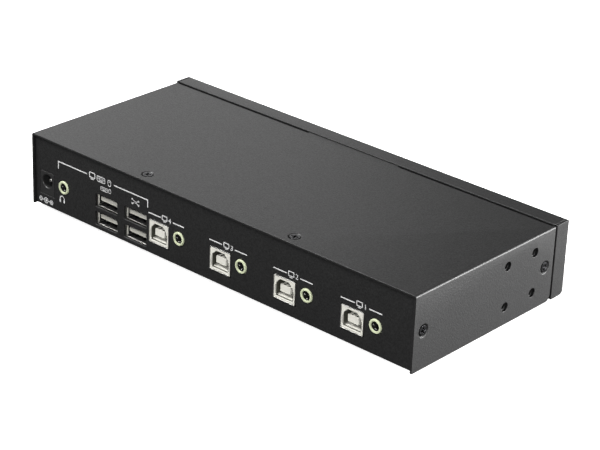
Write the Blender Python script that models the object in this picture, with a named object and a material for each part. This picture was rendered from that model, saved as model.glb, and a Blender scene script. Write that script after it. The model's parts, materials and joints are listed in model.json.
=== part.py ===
"""A four-port KVM switch for USB and audio, in a folded steel case.

Case coordinates: X runs along the case with the power inlet at +X, the front face
is at -Y, the sockets are at +Y, and Z = 0 is the lower edge of the cover. The empty
"case_origin" lifts the case onto its feet and centres its box on the world's origin.
"""

import math

import bmesh
import bpy
from mathutils import Matrix, Vector

MM = 0.001

# Case
CASE_WIDTH = 222.2 * MM
CASE_DEPTH = 100 * MM
CASE_HEIGHT = 34.6 * MM
SHEET = 1.0 * MM
FIT_GAP = 0.1 * MM  # between two faces that touch on the real case
CASE_END = CASE_WIDTH / 2
FRONT_Y = -CASE_DEPTH / 2
REAR_Y = CASE_DEPTH / 2

# Chassis
CHASSIS_LIFT = 0.3 * MM  # its underside, above the cover's lower edge
FLOOR_Z = CHASSIS_LIFT + SHEET
FRONT_FLANGE = 8.7 * MM
FLANGE_END_Y = FRONT_Y + FRONT_FLANGE
FRONT_BOTTOM_BEND = 3.0 * MM
BEND = 1.0 * MM
CORNER_SLOT = 0.3 * MM
CORNER_RELIEF = 0.6 * MM  # cut from the rear wall's upper corners, clear of the cover's bends
REAR_RECESS = 1.0 * MM
REAR_BEND = 1.0 * MM
WALL_OUTER_Y = REAR_Y - REAR_RECESS
WALL_INNER_Y = WALL_OUTER_Y - SHEET
REAR_FLANGE = 9.0 * MM
SIDE_WALL_TOP = 30.5 * MM

# Cover
COVER_STEP = 0.5 * MM  # its ends stand this far inside the ends of the chassis front
COVER_END = CASE_END - COVER_STEP
COVER_TOP = CASE_HEIGHT - 0.4 * MM  # just under the top of the chassis front
SEAM_GAP = 0.25 * MM
COVER_FRONT_Y = FLANGE_END_Y + SEAM_GAP
TOP_SEAM_CUT = 0.85 * MM  # off the front edge of its top, on each side of the tab
SEAM_TAB_HALF = 26.2 * MM
COVER_CORNER = 3.0 * MM
SIDE_WALL_X = COVER_END - SHEET - FIT_GAP
REAR_FLANGE_Z = COVER_TOP - SHEET - FIT_GAP

# Countersunk case screws
SCREW_HEAD_R = 2.85 * MM
SCREW_SHANK_R = 1.4 * MM
SCREW_LENGTH = 3.3 * MM
SCREW_CLEARANCE = 0.12 * MM
SCREW_RIM = 0.2 * MM
SCREW_CHAMFER = 0.3 * MM
CASE_RECESS = (3.0 * MM, 1.2 * MM)  # width and depth
RECESS_SLOT = 0.26  # its arm's width, as a share of its length
RECESS_TAPER = (0.45, 0.6)  # how far its arm narrows to the bottom, in length and width
RECESS_ABOVE = 0.2 * MM
TOP_SCREW_X = 42.5 * MM
TOP_SCREW_Y = 44.2 * MM
SIDE_SCREW_Y = {"front": -35.3 * MM, "rear": 44.2 * MM}
SIDE_SCREW_Z = 17.3 * MM

# Rack-ear holes in each end
EAR_HOLE_Y = (-27.5 * MM, -9.0 * MM)
EAR_HOLE_Z = (8.3 * MM, 26.7 * MM)
EAR_HOLE_R = 2.0 * MM
EAR_THREAD_R = 1.45 * MM

# Feet
FOOT_DROP = 1.6 * MM  # from the cover's lower edge to the surface it stands on
FOOT_R = 5.0 * MM
FOOT_EDGE = 0.4 * MM
FOOT_X = 96 * MM
FOOT_Y = 36 * MM

# Board
BOARD_TOP = 6.2 * MM
BOARD_THICKNESS = 1.6 * MM
BOARD_HALF_WIDTH = 107 * MM
BOARD_FRONT_Y = -43.0 * MM
BOARD_REAR_Y = 47.4 * MM
BOARD_SCREW_X = 98 * MM
BOARD_SCREW_Y = {"front": -24 * MM, "rear": 22 * MM}
BOARD_CORNER = 1.0 * MM
BOARD_HOLE_R = 1.6 * MM
NOTCH_GAP = 0.4 * MM  # round each sunk pair of USB-A ports
SEAT_GAP = 0.05 * MM
STANDOFF_R = 2.9 * MM
STANDOFF_THREAD_R = 1.35 * MM
PAN_HEAD_R = 2.8 * MM
PAN_HEAD_HEIGHT = 1.8 * MM
PAN_SHANK_R = 1.25 * MM
PAN_RECESS = (2.8 * MM, 1.1 * MM)
CHIPS = {  # the middle of each, its side and its height
    "controller_chip": (-22 * MM, -4 * MM, 14 * MM, 1.6 * MM),
    "hub_chip": (40 * MM, 6 * MM, 9 * MM, 1.4 * MM),
}
CHIP_CORNER = 0.3 * MM
CHIP_EDGE = 0.15 * MM
CAPACITOR_AT = (84 * MM, 16 * MM)
CAPACITOR_R = 4.0 * MM
CAPACITOR_HEIGHT = 11.0 * MM
CAPACITOR_GROOVE_Z = 1.8 * MM
CAPACITOR_EDGE = 0.4 * MM

# Sockets
PORT_PITCH = 36.4 * MM
USB_B_X = [(-78.7 * MM) + PORT_PITCH * port for port in range(4)]
USB_B_WIDTH = 12.0 * MM
USB_B_HEIGHT = 10.6 * MM
USB_B_BOTTOM = BOARD_TOP + FIT_GAP
USB_B_FACE_Y = WALL_OUTER_Y + 0.3 * MM
USB_B_LENGTH = 16.3 * MM
USB_B_OPENING = (9.2 * MM, 8.1 * MM)
USB_B_CHAMFER = 2.2 * MM
USB_B_TONGUE = (5.6 * MM, 3.2 * MM)
USB_B_TONGUE_RECESS = 0.8 * MM
USB_B_DEPTH = 9.0 * MM
USB_B_CORNER = 0.5 * MM
SHELL_SHEET = 0.3 * MM
AUDIO_OFFSET = -11.8 * MM
AUDIO_X = {"console": 90.9 * MM}
AUDIO_X.update({str(port + 1): x + AUDIO_OFFSET for port, x in enumerate(USB_B_X)})
AUDIO_Z = 13.3 * MM
AUDIO_NOSE_R = 3.1 * MM
AUDIO_BORE_R = 1.8 * MM
AUDIO_BODY_HALF = 4.5 * MM
AUDIO_BODY_DEPTH = 12.5 * MM
AUDIO_BODY_TOP = 17.9 * MM
AUDIO_PROUD = 0.4 * MM
USB_A_X = {"keyboard": 63.4 * MM, "hub": 45.2 * MM}
USB_A_PORT = (12.5 * MM, 5.1 * MM)
USB_A_CUTOUT = (13.8 * MM, 6.2 * MM)
USB_A_PORT_Z = (5.8 * MM, 14.4 * MM)
USB_A_HALF_WIDTH = 7.2 * MM
USB_A_BOTTOM = 2.7 * MM
USB_A_TOP = 17.8 * MM
USB_A_SHELL_REAR_Y = 36.8 * MM
USB_A_TONGUE = (11.1 * MM, 1.8 * MM)
USB_A_TONGUE_RAISE = 0.45 * MM
USB_A_TONGUE_RECESS = 2.1 * MM
USB_A_BLOCK_DEPTH = 6.0 * MM
USB_A_WING = (1.4 * MM, 0.4 * MM)  # its reach over the board and its thickness
USB_A_WING_Y = (40 * MM, 44 * MM)
DC_X = 101.8 * MM
DC_Z = 12.9 * MM
DC_BODY = (9.0 * MM, 14.2 * MM, 11.0 * MM)
DC_HOLE_R = 3.1 * MM
DC_HOLE_DEPTH = 9.5 * MM
DC_PIN_R = 1.0 * MM
DC_PIN_RECESS = 2.4 * MM
CUTOUT_GAP = 0.2 * MM
CUTOUT_CORNER = 0.4 * MM
PORT_CORNER = 0.3 * MM
SOCKET_CHAMFER = 0.3 * MM

# Front controls
BUTTON_PITCH = 30 * MM
BUTTON_X = [BUTTON_PITCH * (port - 1.5) for port in range(4)]
BUTTON_Z = 11.2 * MM
BUTTON_SIZE = (12.0 * MM, 7.0 * MM)
BUTTON_CORNER = 1.2 * MM
BUTTON_PROUD = 1.0 * MM
BUTTON_TRAVEL = 1.0 * MM
BUTTON_FLANGE = 1.5 * MM
BUTTON_EDGE = 0.4 * MM
BUTTON_STEM_R = 2.0 * MM
BUTTON_STEM = 2.6 * MM
PLUNGER_R = 1.7 * MM
SWITCH_WIDTH = 6.0 * MM
SWITCH_FACE_Y = -45.1 * MM
SWITCH_DEPTH = 3.5 * MM
PLUNGER_IN_SWITCH = 1.7 * MM
LED_OFFSET = -11.5 * MM
LED_R = 1.5 * MM
LED_PROUD = 0.7 * MM
LED_DOME = 1.5 * MM
LED_LENGTH = 6.0 * MM
LED_HOLDER_HALF = 2.2 * MM
LED_HOLDER_Y = (FRONT_Y + 4.5 * MM, FRONT_Y + 9.5 * MM)
LABEL_THICKNESS = 0.25 * MM
LABEL_GAP = 0.02 * MM
LABEL_X = (-66 * MM, 56 * MM)
LABEL_Z = (5.5 * MM, 22.5 * MM)
LABEL_CORNER = 1.5 * MM


# How finely round shapes are divided
ARC_FINENESS = 0.15 * MM
SCREW_SEGMENTS = 16
NOSE_SEGMENTS = 24


# Materials


def material(name, colour, roughness, metallic=0.0):
    made = bpy.data.materials.new(name)
    made.use_nodes = True
    shader = made.node_tree.nodes["Principled BSDF"]
    shader.inputs["Base Color"].default_value = (*colour, 1.0)
    shader.inputs["Roughness"].default_value = roughness
    shader.inputs["Metallic"].default_value = metallic
    return made


def make_materials():
    return {
        "painted_steel": material("painted_steel", (0.035, 0.035, 0.036), 0.5),
        "screw_steel": material("screw_steel", (0.05, 0.05, 0.055), 0.35, 1.0),
        "socket_shell": material("socket_shell", (0.72, 0.71, 0.68), 0.3, 1.0),
        "ivory_plastic": material("ivory_plastic", (0.7, 0.69, 0.63), 0.45),
        "lime_plastic": material("lime_plastic", (0.62, 0.72, 0.42), 0.4),
        "black_plastic": material("black_plastic", (0.02, 0.02, 0.02), 0.45),
        "circuit_board": material("circuit_board", (0.02, 0.12, 0.05), 0.5),
        "rubber": material("rubber", (0.015, 0.015, 0.015), 0.8),
        "brass": material("brass", (0.6, 0.45, 0.2), 0.3, 1.0),
        "label_film": material("label_film", (0.03, 0.03, 0.032), 0.35),
        "button_plastic": material("button_plastic", (0.06, 0.06, 0.062), 0.4),
        "led_lens": material("led_lens", (0.75, 0.8, 0.78), 0.15),
        "capacitor_sleeve": material("capacitor_sleeve", (0.04, 0.05, 0.12), 0.4),
    }


# Shapes


def rounded(corners):
    """An outline through corners of (u, v, radius), each turned into an arc of its radius."""
    points = []
    for index, (u, v, radius) in enumerate(corners):
        corner = Vector((u, v))
        if radius == 0:
            points.append(corner)
            continue
        before = (Vector(corners[index - 1][:2]) - corner).normalized()
        after = (Vector(corners[(index + 1) % len(corners)][:2]) - corner).normalized()
        half_angle = before.angle(after) / 2
        setback = radius / math.tan(half_angle)
        centre = corner + (before + after).normalized() * radius / math.sin(half_angle)
        spoke = corner + before * setback - centre
        sweep = math.copysign(math.pi - 2 * half_angle, after.cross(before))
        steps = max(2, round(math.sqrt(radius / ARC_FINENESS)))
        points.append(corner + before * setback)
        for step in range(1, steps):
            points.append(centre + Matrix.Rotation(sweep * step / steps, 2) @ spoke)
        points.append(corner + after * setback)
    return points


def rectangle(width, height, radius=0.0, centre=(0.0, 0.0)):
    u, v = centre
    return rounded(
        [
            (u - width / 2, v - height / 2, radius),
            (u + width / 2, v - height / 2, radius),
            (u + width / 2, v + height / 2, radius),
            (u - width / 2, v + height / 2, radius),
        ]
    )


def circle(radius, centre, segments=SCREW_SEGMENTS):
    u, v = centre
    angles = [2 * math.pi * step / segments for step in range(segments)]
    return [(u + radius * math.cos(angle), v + radius * math.sin(angle)) for angle in angles]


def without_repeats(outline):
    """The outline without a point that lies on the one before it."""
    kept = []
    for index, point in enumerate(outline):
        if (Vector(point) - Vector(outline[index - 1])).length > 1e-7:
            kept.append(point)
    return kept


def add_prism(mesh, outline, axis, low, high):
    """Adds an outline run along an axis. It lies in the other two axes, in X, Y, Z order."""
    direction = Vector([float(name == axis) for name in "XYZ"])
    across = [Vector([float(name == other) for name in "XYZ"]) for other in "XYZ" if other != axis]
    corners = [mesh.verts.new(across[0] * u + across[1] * v + direction * low) for u, v in outline]
    end = mesh.faces.new(corners)
    grown = bmesh.ops.extrude_face_region(mesh, geom=[end])["geom"]
    moved = [item for item in grown if isinstance(item, bmesh.types.BMVert)]
    bmesh.ops.translate(mesh, verts=moved, vec=direction * (high - low))
    bmesh.ops.recalc_face_normals(mesh, faces=mesh.faces)


def add_block(mesh, x, y, z):
    """Adds a box from its (low, high) pair along each axis."""
    corners = [(x[0], y[0]), (x[1], y[0]), (x[1], y[1]), (x[0], y[1])]
    add_prism(mesh, corners, "Z", *z)


def add_turned(mesh, profile, placing=None, segments=SCREW_SEGMENTS):
    """Adds a solid of revolution about Z from (radius, z) pairs that start and end on the axis."""
    known = set(mesh.verts)
    chain = [mesh.verts.new((radius, 0.0, z)) for radius, z in profile]
    edges = [mesh.edges.new(pair) for pair in zip(chain, chain[1:])]
    bmesh.ops.spin(
        mesh,
        geom=chain + edges,
        cent=(0, 0, 0),
        axis=(0, 0, 1),
        angle=2 * math.pi,
        steps=segments,
        use_merge=True,
    )
    turned = [vert for vert in mesh.verts if vert not in known]
    bmesh.ops.remove_doubles(mesh, verts=turned, dist=1e-7)
    turned = [vert for vert in mesh.verts if vert not in known]
    if placing:
        bmesh.ops.transform(mesh, matrix=placing, verts=turned)
    bmesh.ops.recalc_face_normals(mesh, faces=mesh.faces)


def facing(direction, place):
    """A matrix that stands a turned shape at a place with its Z axis along a direction."""
    turn = Vector(direction).to_track_quat("Z", "Y").to_matrix().to_4x4()
    return Matrix.Translation(place) @ turn


def to_mesh(name, shape):
    mesh = bpy.data.meshes.new(name)
    shape.to_mesh(mesh)
    shape.free()
    return mesh


def combined(name, base, *steps, solver="EXACT"):
    """The mesh of a base shape after each (operation, shape) Boolean in turn."""
    target = bpy.data.objects.new("boolean_target", to_mesh(name, base))
    bpy.context.collection.objects.link(target)
    tools = []
    for operation, shape in steps:
        tool = bpy.data.objects.new("boolean_tool", to_mesh("boolean_tool", shape))
        bpy.context.collection.objects.link(tool)
        modifier = target.modifiers.new(operation, "BOOLEAN")
        modifier.operation = operation
        modifier.solver = solver
        modifier.object = tool
        tools.append(tool)
    bpy.context.view_layer.update()
    graph = bpy.context.evaluated_depsgraph_get()
    mesh = bpy.data.meshes.new_from_object(target.evaluated_get(graph))
    mesh.name = name
    for helper in [target, *tools]:
        bpy.data.objects.remove(helper)
    return mesh


def add_piece(name, mesh, finish, place=(0, 0, 0), turn=None):
    """One sub-part, placed in the case's coordinates."""
    if not mesh.materials:
        mesh.materials.append(finish)
        mesh.shade_smooth()
        mesh.set_sharp_from_angle(angle=math.radians(35))
    piece = bpy.data.objects.new(name, mesh)
    bpy.context.collection.objects.link(piece)
    piece.parent = bpy.data.objects["case_origin"]
    piece.location = place
    if turn:
        piece.rotation_euler = turn.to_euler()
    return piece


def add_bevel(piece, width):
    bevel = piece.modifiers.new("edge_round", "BEVEL")
    bevel.width = width
    bevel.segments = 1
    bevel.limit_method = "ANGLE"
    bevel.angle_limit = math.radians(50)


# Case


def screw_hole_profile():
    """A 90 degree countersink with its thread hole below, from outside the sheet inwards."""
    mouth = SCREW_HEAD_R + SCREW_CLEARANCE
    shank = SCREW_SHANK_R + SCREW_CLEARANCE
    return [
        (0, RECESS_ABOVE),
        (mouth, RECESS_ABOVE),
        (mouth, 0),
        (shank, shank - mouth),
        (shank, -(SCREW_LENGTH + SHEET)),
        (0, -(SCREW_LENGTH + SHEET)),
    ]


def case_screw_places():
    """Each case screw's name, the middle of its head's face and the way it points out."""
    for side, sign in (("left", -1), ("right", 1)):
        yield f"top_screw_{side}", (sign * TOP_SCREW_X, TOP_SCREW_Y, COVER_TOP), (0, 0, 1)
        for end, y in SIDE_SCREW_Y.items():
            yield f"side_screw_{side}_{end}", (sign * COVER_END, y, SIDE_SCREW_Z), (sign, 0, 0)


def add_screw_holes(shape):
    for _, place, outward in case_screw_places():
        add_turned(shape, screw_hole_profile(), facing(outward, place))


def add_ear_holes(shape, radius):
    """A pair of round cutters across both ends for each rack-ear hole position."""
    reach = 3 * MM
    profile = [(0, -reach), (radius, -reach), (radius, reach), (0, reach)]
    for sign in (-1, 1):
        for y in EAR_HOLE_Y:
            for z in EAR_HOLE_Z:
                add_turned(shape, profile, facing((sign, 0, 0), (sign * COVER_END, y, z)))


def front_hole_outlines(margin):
    """The holes for the buttons and the port lamps, grown by a margin."""
    for x in BUTTON_X:
        width, height = (size + 2 * margin for size in BUTTON_SIZE)
        yield rectangle(width, height, BUTTON_CORNER + margin, (x, BUTTON_Z))
        yield circle(LED_R + margin, (x + LED_OFFSET, BUTTON_Z))


def rear_hole_outlines():
    """The cut-outs in the rear wall, one for each socket or USB-A port."""
    clearance = 2 * CUTOUT_GAP
    for x in USB_B_X:
        middle = (x, USB_B_BOTTOM + USB_B_HEIGHT / 2)
        cutout = (USB_B_WIDTH + clearance, USB_B_HEIGHT + clearance)
        yield rectangle(*cutout, CUTOUT_CORNER, middle)
    for x in AUDIO_X.values():
        yield circle(AUDIO_NOSE_R + CUTOUT_GAP, (x, AUDIO_Z), NOSE_SEGMENTS)
    for x in USB_A_X.values():
        for z in USB_A_PORT_Z:
            yield rectangle(*USB_A_CUTOUT, CUTOUT_CORNER, (x, z))
    middle = (DC_X, BOARD_TOP + FIT_GAP + DC_BODY[2] / 2)
    yield rectangle(DC_BODY[0] + clearance, DC_BODY[2] + clearance, 0.0, middle)


def make_chassis(finishes):
    """Floor, front with its rim, rear wall with its flange, and two inner side walls."""
    front = bmesh.new()
    side_outline = rounded(
        [
            (FRONT_Y, CHASSIS_LIFT, FRONT_BOTTOM_BEND),
            (FLANGE_END_Y, CHASSIS_LIFT, 0),
            (FLANGE_END_Y, CASE_HEIGHT, 0),
            (FRONT_Y, CASE_HEIGHT, BEND),
        ]
    )
    add_prism(front, side_outline, "X", -CASE_END, CASE_END)

    plan = bmesh.new()
    plan_outline = rounded(
        [
            (-CASE_END, FRONT_Y, BEND),
            (CASE_END, FRONT_Y, BEND),
            (CASE_END, REAR_Y, 0),
            (-CASE_END, REAR_Y, 0),
        ]
    )
    add_prism(plan, plan_outline, "Z", -SHEET, CASE_HEIGHT + SHEET)

    cavity = bmesh.new()
    cavity_outline = rounded(
        [
            (FRONT_Y + SHEET, FLOOR_Z, FRONT_BOTTOM_BEND - SHEET),
            (REAR_Y, FLOOR_Z, 0),
            (REAR_Y, CASE_HEIGHT - SHEET, 0),
            (FRONT_Y + SHEET, CASE_HEIGHT - SHEET, BEND - SHEET),
        ]
    )
    add_prism(cavity, cavity_outline, "X", SHEET - CASE_END, CASE_END - SHEET)

    tray = bmesh.new()
    inside = REAR_BEND - SHEET
    tray_outline = rounded(
        [
            (FRONT_Y + 2 * FRONT_BOTTOM_BEND, CHASSIS_LIFT, 0),
            (WALL_OUTER_Y, CHASSIS_LIFT, REAR_BEND),
            (WALL_OUTER_Y, REAR_FLANGE_Z, REAR_BEND),
            (WALL_OUTER_Y - REAR_FLANGE, REAR_FLANGE_Z, 0),
            (WALL_OUTER_Y - REAR_FLANGE, REAR_FLANGE_Z - SHEET, 0),
            (WALL_INNER_Y, REAR_FLANGE_Z - SHEET, inside),
            (WALL_INNER_Y, FLOOR_Z, inside),
            (FRONT_Y + 2 * FRONT_BOTTOM_BEND, FLOOR_Z, 0),
        ]
    )
    add_prism(tray, tray_outline, "X", -SIDE_WALL_X, SIDE_WALL_X)

    side_walls = bmesh.new()
    side_wall_y = (COVER_FRONT_Y, WALL_INNER_Y - 3 * FIT_GAP)
    side_wall_z = (CHASSIS_LIFT + SHEET / 2, SIDE_WALL_TOP)
    add_block(side_walls, (-SIDE_WALL_X, SHEET - SIDE_WALL_X), side_wall_y, side_wall_z)
    add_block(side_walls, (SIDE_WALL_X - SHEET, SIDE_WALL_X), side_wall_y, side_wall_z)

    holes = bmesh.new()
    add_screw_holes(holes)
    add_ear_holes(holes, EAR_THREAD_R)
    for outline in rear_hole_outlines():
        add_prism(holes, outline, "Y", WALL_INNER_Y - SHEET, REAR_Y)
    for outline in front_hole_outlines(CUTOUT_GAP):
        add_prism(holes, outline, "Y", FRONT_Y - SHEET, FRONT_Y + 2 * SHEET)
    slot_y = (FRONT_Y + BEND, FLANGE_END_Y + SHEET)
    slot_z = (CASE_HEIGHT - 1.2 * SHEET, CASE_HEIGHT + SHEET)
    for sign in (-1, 1):
        slot_x = sorted((sign * (CASE_END - SHEET), sign * (CASE_END - SHEET - CORNER_SLOT)))
        add_block(holes, slot_x, slot_y, slot_z)
        relief_x = sorted((sign * CASE_END, sign * (SIDE_WALL_X - CORNER_RELIEF)))
        relief_y = (WALL_OUTER_Y - REAR_FLANGE - SHEET, REAR_Y)
        add_block(holes, relief_x, relief_y, (REAR_FLANGE_Z - CORNER_RELIEF, CASE_HEIGHT))

    mesh = combined(
        "chassis",
        front,
        ("INTERSECT", plan),
        ("DIFFERENCE", cavity),
        ("UNION", tray),
        ("UNION", side_walls),
        ("DIFFERENCE", holes),
        solver="MANIFOLD",
    )
    add_piece("chassis", mesh, finishes["painted_steel"])


def make_cover(finishes):
    """An inverted channel over the chassis, with a tab that closes the middle of the seam."""
    inner = COVER_END - SHEET
    inner_bend = BEND - SHEET
    channel = bmesh.new()
    channel_outline = rounded(
        [
            (-COVER_END, 0, 0),
            (-inner, 0, 0),
            (-inner, COVER_TOP - SHEET, inner_bend),
            (inner, COVER_TOP - SHEET, inner_bend),
            (inner, 0, 0),
            (COVER_END, 0, 0),
            (COVER_END, COVER_TOP, BEND),
            (-COVER_END, COVER_TOP, BEND),
        ]
    )
    add_prism(channel, channel_outline, "Y", COVER_FRONT_Y, REAR_Y)

    tab = bmesh.new()
    tab_y = (FLANGE_END_Y + FIT_GAP, COVER_FRONT_Y + SHEET)
    add_block(tab, (-SEAM_TAB_HALF, SEAM_TAB_HALF), tab_y, (COVER_TOP - SHEET, COVER_TOP))

    holes = bmesh.new()
    add_screw_holes(holes)
    add_ear_holes(holes, EAR_HOLE_R)
    outside_y = COVER_FRONT_Y - SHEET
    corner = rounded(
        [
            (outside_y, -SHEET, 0),
            (COVER_FRONT_Y + COVER_CORNER, -SHEET, 0),
            (COVER_FRONT_Y + COVER_CORNER, 0, 0),
            (COVER_FRONT_Y, 0, COVER_CORNER),
            (COVER_FRONT_Y, COVER_CORNER, 0),
            (outside_y, COVER_CORNER, 0),
        ]
    )
    for sign in (-1, 1):
        wall = sorted((sign * (COVER_END + SHEET), sign * (inner - SHEET)))
        add_prism(holes, without_repeats(corner), "X", *wall)
        cut_x = sorted((sign * SEAM_TAB_HALF, sign * (COVER_END - 1.5 * SHEET)))
        cut_y = (outside_y, COVER_FRONT_Y + TOP_SEAM_CUT)
        add_block(holes, cut_x, cut_y, (COVER_TOP - 2 * SHEET, COVER_TOP + SHEET))

    mesh = combined("top_cover", channel, ("UNION", tab), ("DIFFERENCE", holes))
    add_piece("top_cover", mesh, finishes["painted_steel"])


def recess_arm(width, depth, turn):
    """One tapered arm of a cross recess, to be cut down into a head whose top is at Z = 0."""
    arm = bmesh.new()
    add_prism(arm, rectangle(width, width * RECESS_SLOT), "Z", -depth, RECESS_ABOVE)
    for vert in arm.verts:
        if vert.co.z < 0:
            vert.co.x *= RECESS_TAPER[0]
            vert.co.y *= RECESS_TAPER[1]
    bmesh.ops.rotate(arm, verts=arm.verts, matrix=Matrix.Rotation(turn, 3, "Z"))
    return arm


def recessed(name, shape, width, depth):
    """The mesh of a screw with a cross recess."""
    arms = [recess_arm(width, depth, turn) for turn in (0, math.pi / 2)]
    return combined(name, shape, *(("DIFFERENCE", arm) for arm in arms))


def countersunk_screw_mesh():
    """A flat head whose cone runs parallel to the countersink. Z = 0 is the sheet's face."""
    shape = bmesh.new()
    profile = [
        (0, -SEAT_GAP),
        (SCREW_HEAD_R - 1.5 * SCREW_RIM, -SEAT_GAP),
        (SCREW_HEAD_R - SCREW_RIM, -SCREW_RIM),
        (SCREW_SHANK_R, SCREW_SHANK_R - SCREW_HEAD_R),
        (SCREW_SHANK_R, SCREW_CHAMFER - SCREW_LENGTH),
        (SCREW_SHANK_R - SCREW_CHAMFER, -SCREW_LENGTH),
        (0, -SCREW_LENGTH),
    ]
    add_turned(shape, profile)
    return recessed("countersunk_screw", shape, *CASE_RECESS)


def make_case_screws(finishes):
    mesh = countersunk_screw_mesh()
    for name, place, outward in case_screw_places():
        turn = Vector(outward).to_track_quat("Z", "Y")
        add_piece(name, mesh, finishes["screw_steel"], place, turn)


def make_feet(finishes):
    height = FOOT_DROP + CHASSIS_LIFT - SEAT_GAP
    shape = bmesh.new()
    profile = [
        (0, 0),
        (FOOT_R - 1.5 * FOOT_EDGE, 0),
        (FOOT_R - FOOT_EDGE / 2, FOOT_EDGE),
        (FOOT_R, height - FOOT_EDGE),
        (FOOT_R, height),
        (0, height),
    ]
    add_turned(shape, profile)
    mesh = to_mesh("rubber_foot", shape)
    for side, x in (("left", -FOOT_X), ("right", FOOT_X)):
        for end, y in (("front", -FOOT_Y), ("rear", FOOT_Y)):
            name = f"rubber_foot_{side}_{end}"
            add_piece(name, mesh, finishes["rubber"], (x, y, -FOOT_DROP))


# Board


def board_screw_places():
    for side, x in (("left", -BOARD_SCREW_X), ("right", BOARD_SCREW_X)):
        for end, y in BOARD_SCREW_Y.items():
            yield f"{side}_{end}", x, y


def make_board(finishes):
    """The circuit board, with a notch round each sunk pair of USB-A ports."""
    bottom = BOARD_TOP - BOARD_THICKNESS
    plate = bmesh.new()
    width = 2 * BOARD_HALF_WIDTH
    depth = BOARD_REAR_Y - BOARD_FRONT_Y
    middle = (0, (BOARD_REAR_Y + BOARD_FRONT_Y) / 2)
    add_prism(plate, rectangle(width, depth, BOARD_CORNER, middle), "Z", bottom, BOARD_TOP)

    cuts = bmesh.new()
    cut_z = (bottom - SHEET, BOARD_TOP + SHEET)
    notch_half = USB_A_HALF_WIDTH + NOTCH_GAP
    notch_y = (USB_A_SHELL_REAR_Y - USB_A_BLOCK_DEPTH - NOTCH_GAP, REAR_Y)
    for x in USB_A_X.values():
        add_block(cuts, (x - notch_half, x + notch_half), notch_y, cut_z)
    for _, x, y in board_screw_places():
        add_prism(cuts, circle(BOARD_HOLE_R, (x, y)), "Z", *cut_z)
    mesh = combined("main_board", plate, ("DIFFERENCE", cuts))
    add_piece("main_board", mesh, finishes["circuit_board"])


def make_board_fixings(finishes):
    """A hexagonal standoff and a pan-head screw at each corner of the board."""
    height = BOARD_TOP - BOARD_THICKNESS - FLOOR_Z - 2 * SEAT_GAP
    post = bmesh.new()
    add_prism(post, circle(STANDOFF_R, (0, 0), 6), "Z", 0, height)
    thread = bmesh.new()
    add_prism(thread, circle(STANDOFF_THREAD_R, (0, 0)), "Z", -SHEET, height + SHEET)
    standoff = combined("board_standoff", post, ("DIFFERENCE", thread))

    screw = bmesh.new()
    reach = BOARD_THICKNESS + height * 0.8
    profile = [
        (0, 0),
        (PAN_HEAD_R * 0.68, -PAN_HEAD_HEIGHT * 0.03),
        (PAN_HEAD_R * 0.93, -PAN_HEAD_HEIGHT / 3),
        (PAN_HEAD_R, -PAN_HEAD_HEIGHT * 2 / 3),
        (PAN_HEAD_R, -PAN_HEAD_HEIGHT),
        (PAN_SHANK_R, -PAN_HEAD_HEIGHT),
        (PAN_SHANK_R, -PAN_HEAD_HEIGHT - reach),
        (0, -PAN_HEAD_HEIGHT - reach),
    ]
    add_turned(screw, profile)
    pan_screw = recessed("board_screw", screw, *PAN_RECESS)

    head_top = BOARD_TOP + SEAT_GAP + PAN_HEAD_HEIGHT
    for corner, x, y in board_screw_places():
        base = (x, y, FLOOR_Z + SEAT_GAP)
        add_piece(f"board_standoff_{corner}", standoff, finishes["brass"], base)
        add_piece(f"board_screw_{corner}", pan_screw, finishes["screw_steel"], (x, y, head_top))


def make_components(finishes):
    """The two largest chips and the supply's smoothing capacitor."""
    seat = BOARD_TOP + SEAT_GAP
    for name, (x, y, size, height) in CHIPS.items():
        shape = bmesh.new()
        add_prism(shape, rectangle(size, size, CHIP_CORNER), "Z", 0, height)
        chip = add_piece(name, to_mesh(name, shape), finishes["black_plastic"], (x, y, seat))
        add_bevel(chip, CHIP_EDGE)
    shape = bmesh.new()
    profile = [
        (0, 0),
        (CAPACITOR_R - CAPACITOR_EDGE, 0),
        (CAPACITOR_R, CAPACITOR_EDGE),
        (CAPACITOR_R, CAPACITOR_GROOVE_Z - CAPACITOR_EDGE),
        (CAPACITOR_R - CAPACITOR_EDGE, CAPACITOR_GROOVE_Z),
        (CAPACITOR_R, CAPACITOR_GROOVE_Z + CAPACITOR_EDGE),
        (CAPACITOR_R, CAPACITOR_HEIGHT - CAPACITOR_EDGE),
        (CAPACITOR_R - CAPACITOR_EDGE, CAPACITOR_HEIGHT),
        (0, CAPACITOR_HEIGHT),
    ]
    add_turned(shape, profile)
    mesh = to_mesh("bulk_capacitor", shape)
    place = (*CAPACITOR_AT, seat)
    add_piece("bulk_capacitor", mesh, finishes["capacitor_sleeve"], place)


# Sockets


def usb_b_outline():
    """A socket's opening, with its two upper corners cut off."""
    width, height = USB_B_OPENING
    cut = USB_B_CHAMFER
    return [
        (-width / 2, -height / 2),
        (width / 2, -height / 2),
        (width / 2, height / 2 - cut),
        (width / 2 - cut, height / 2),
        (cut - width / 2, height / 2),
        (-width / 2, height / 2 - cut),
    ]


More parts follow.
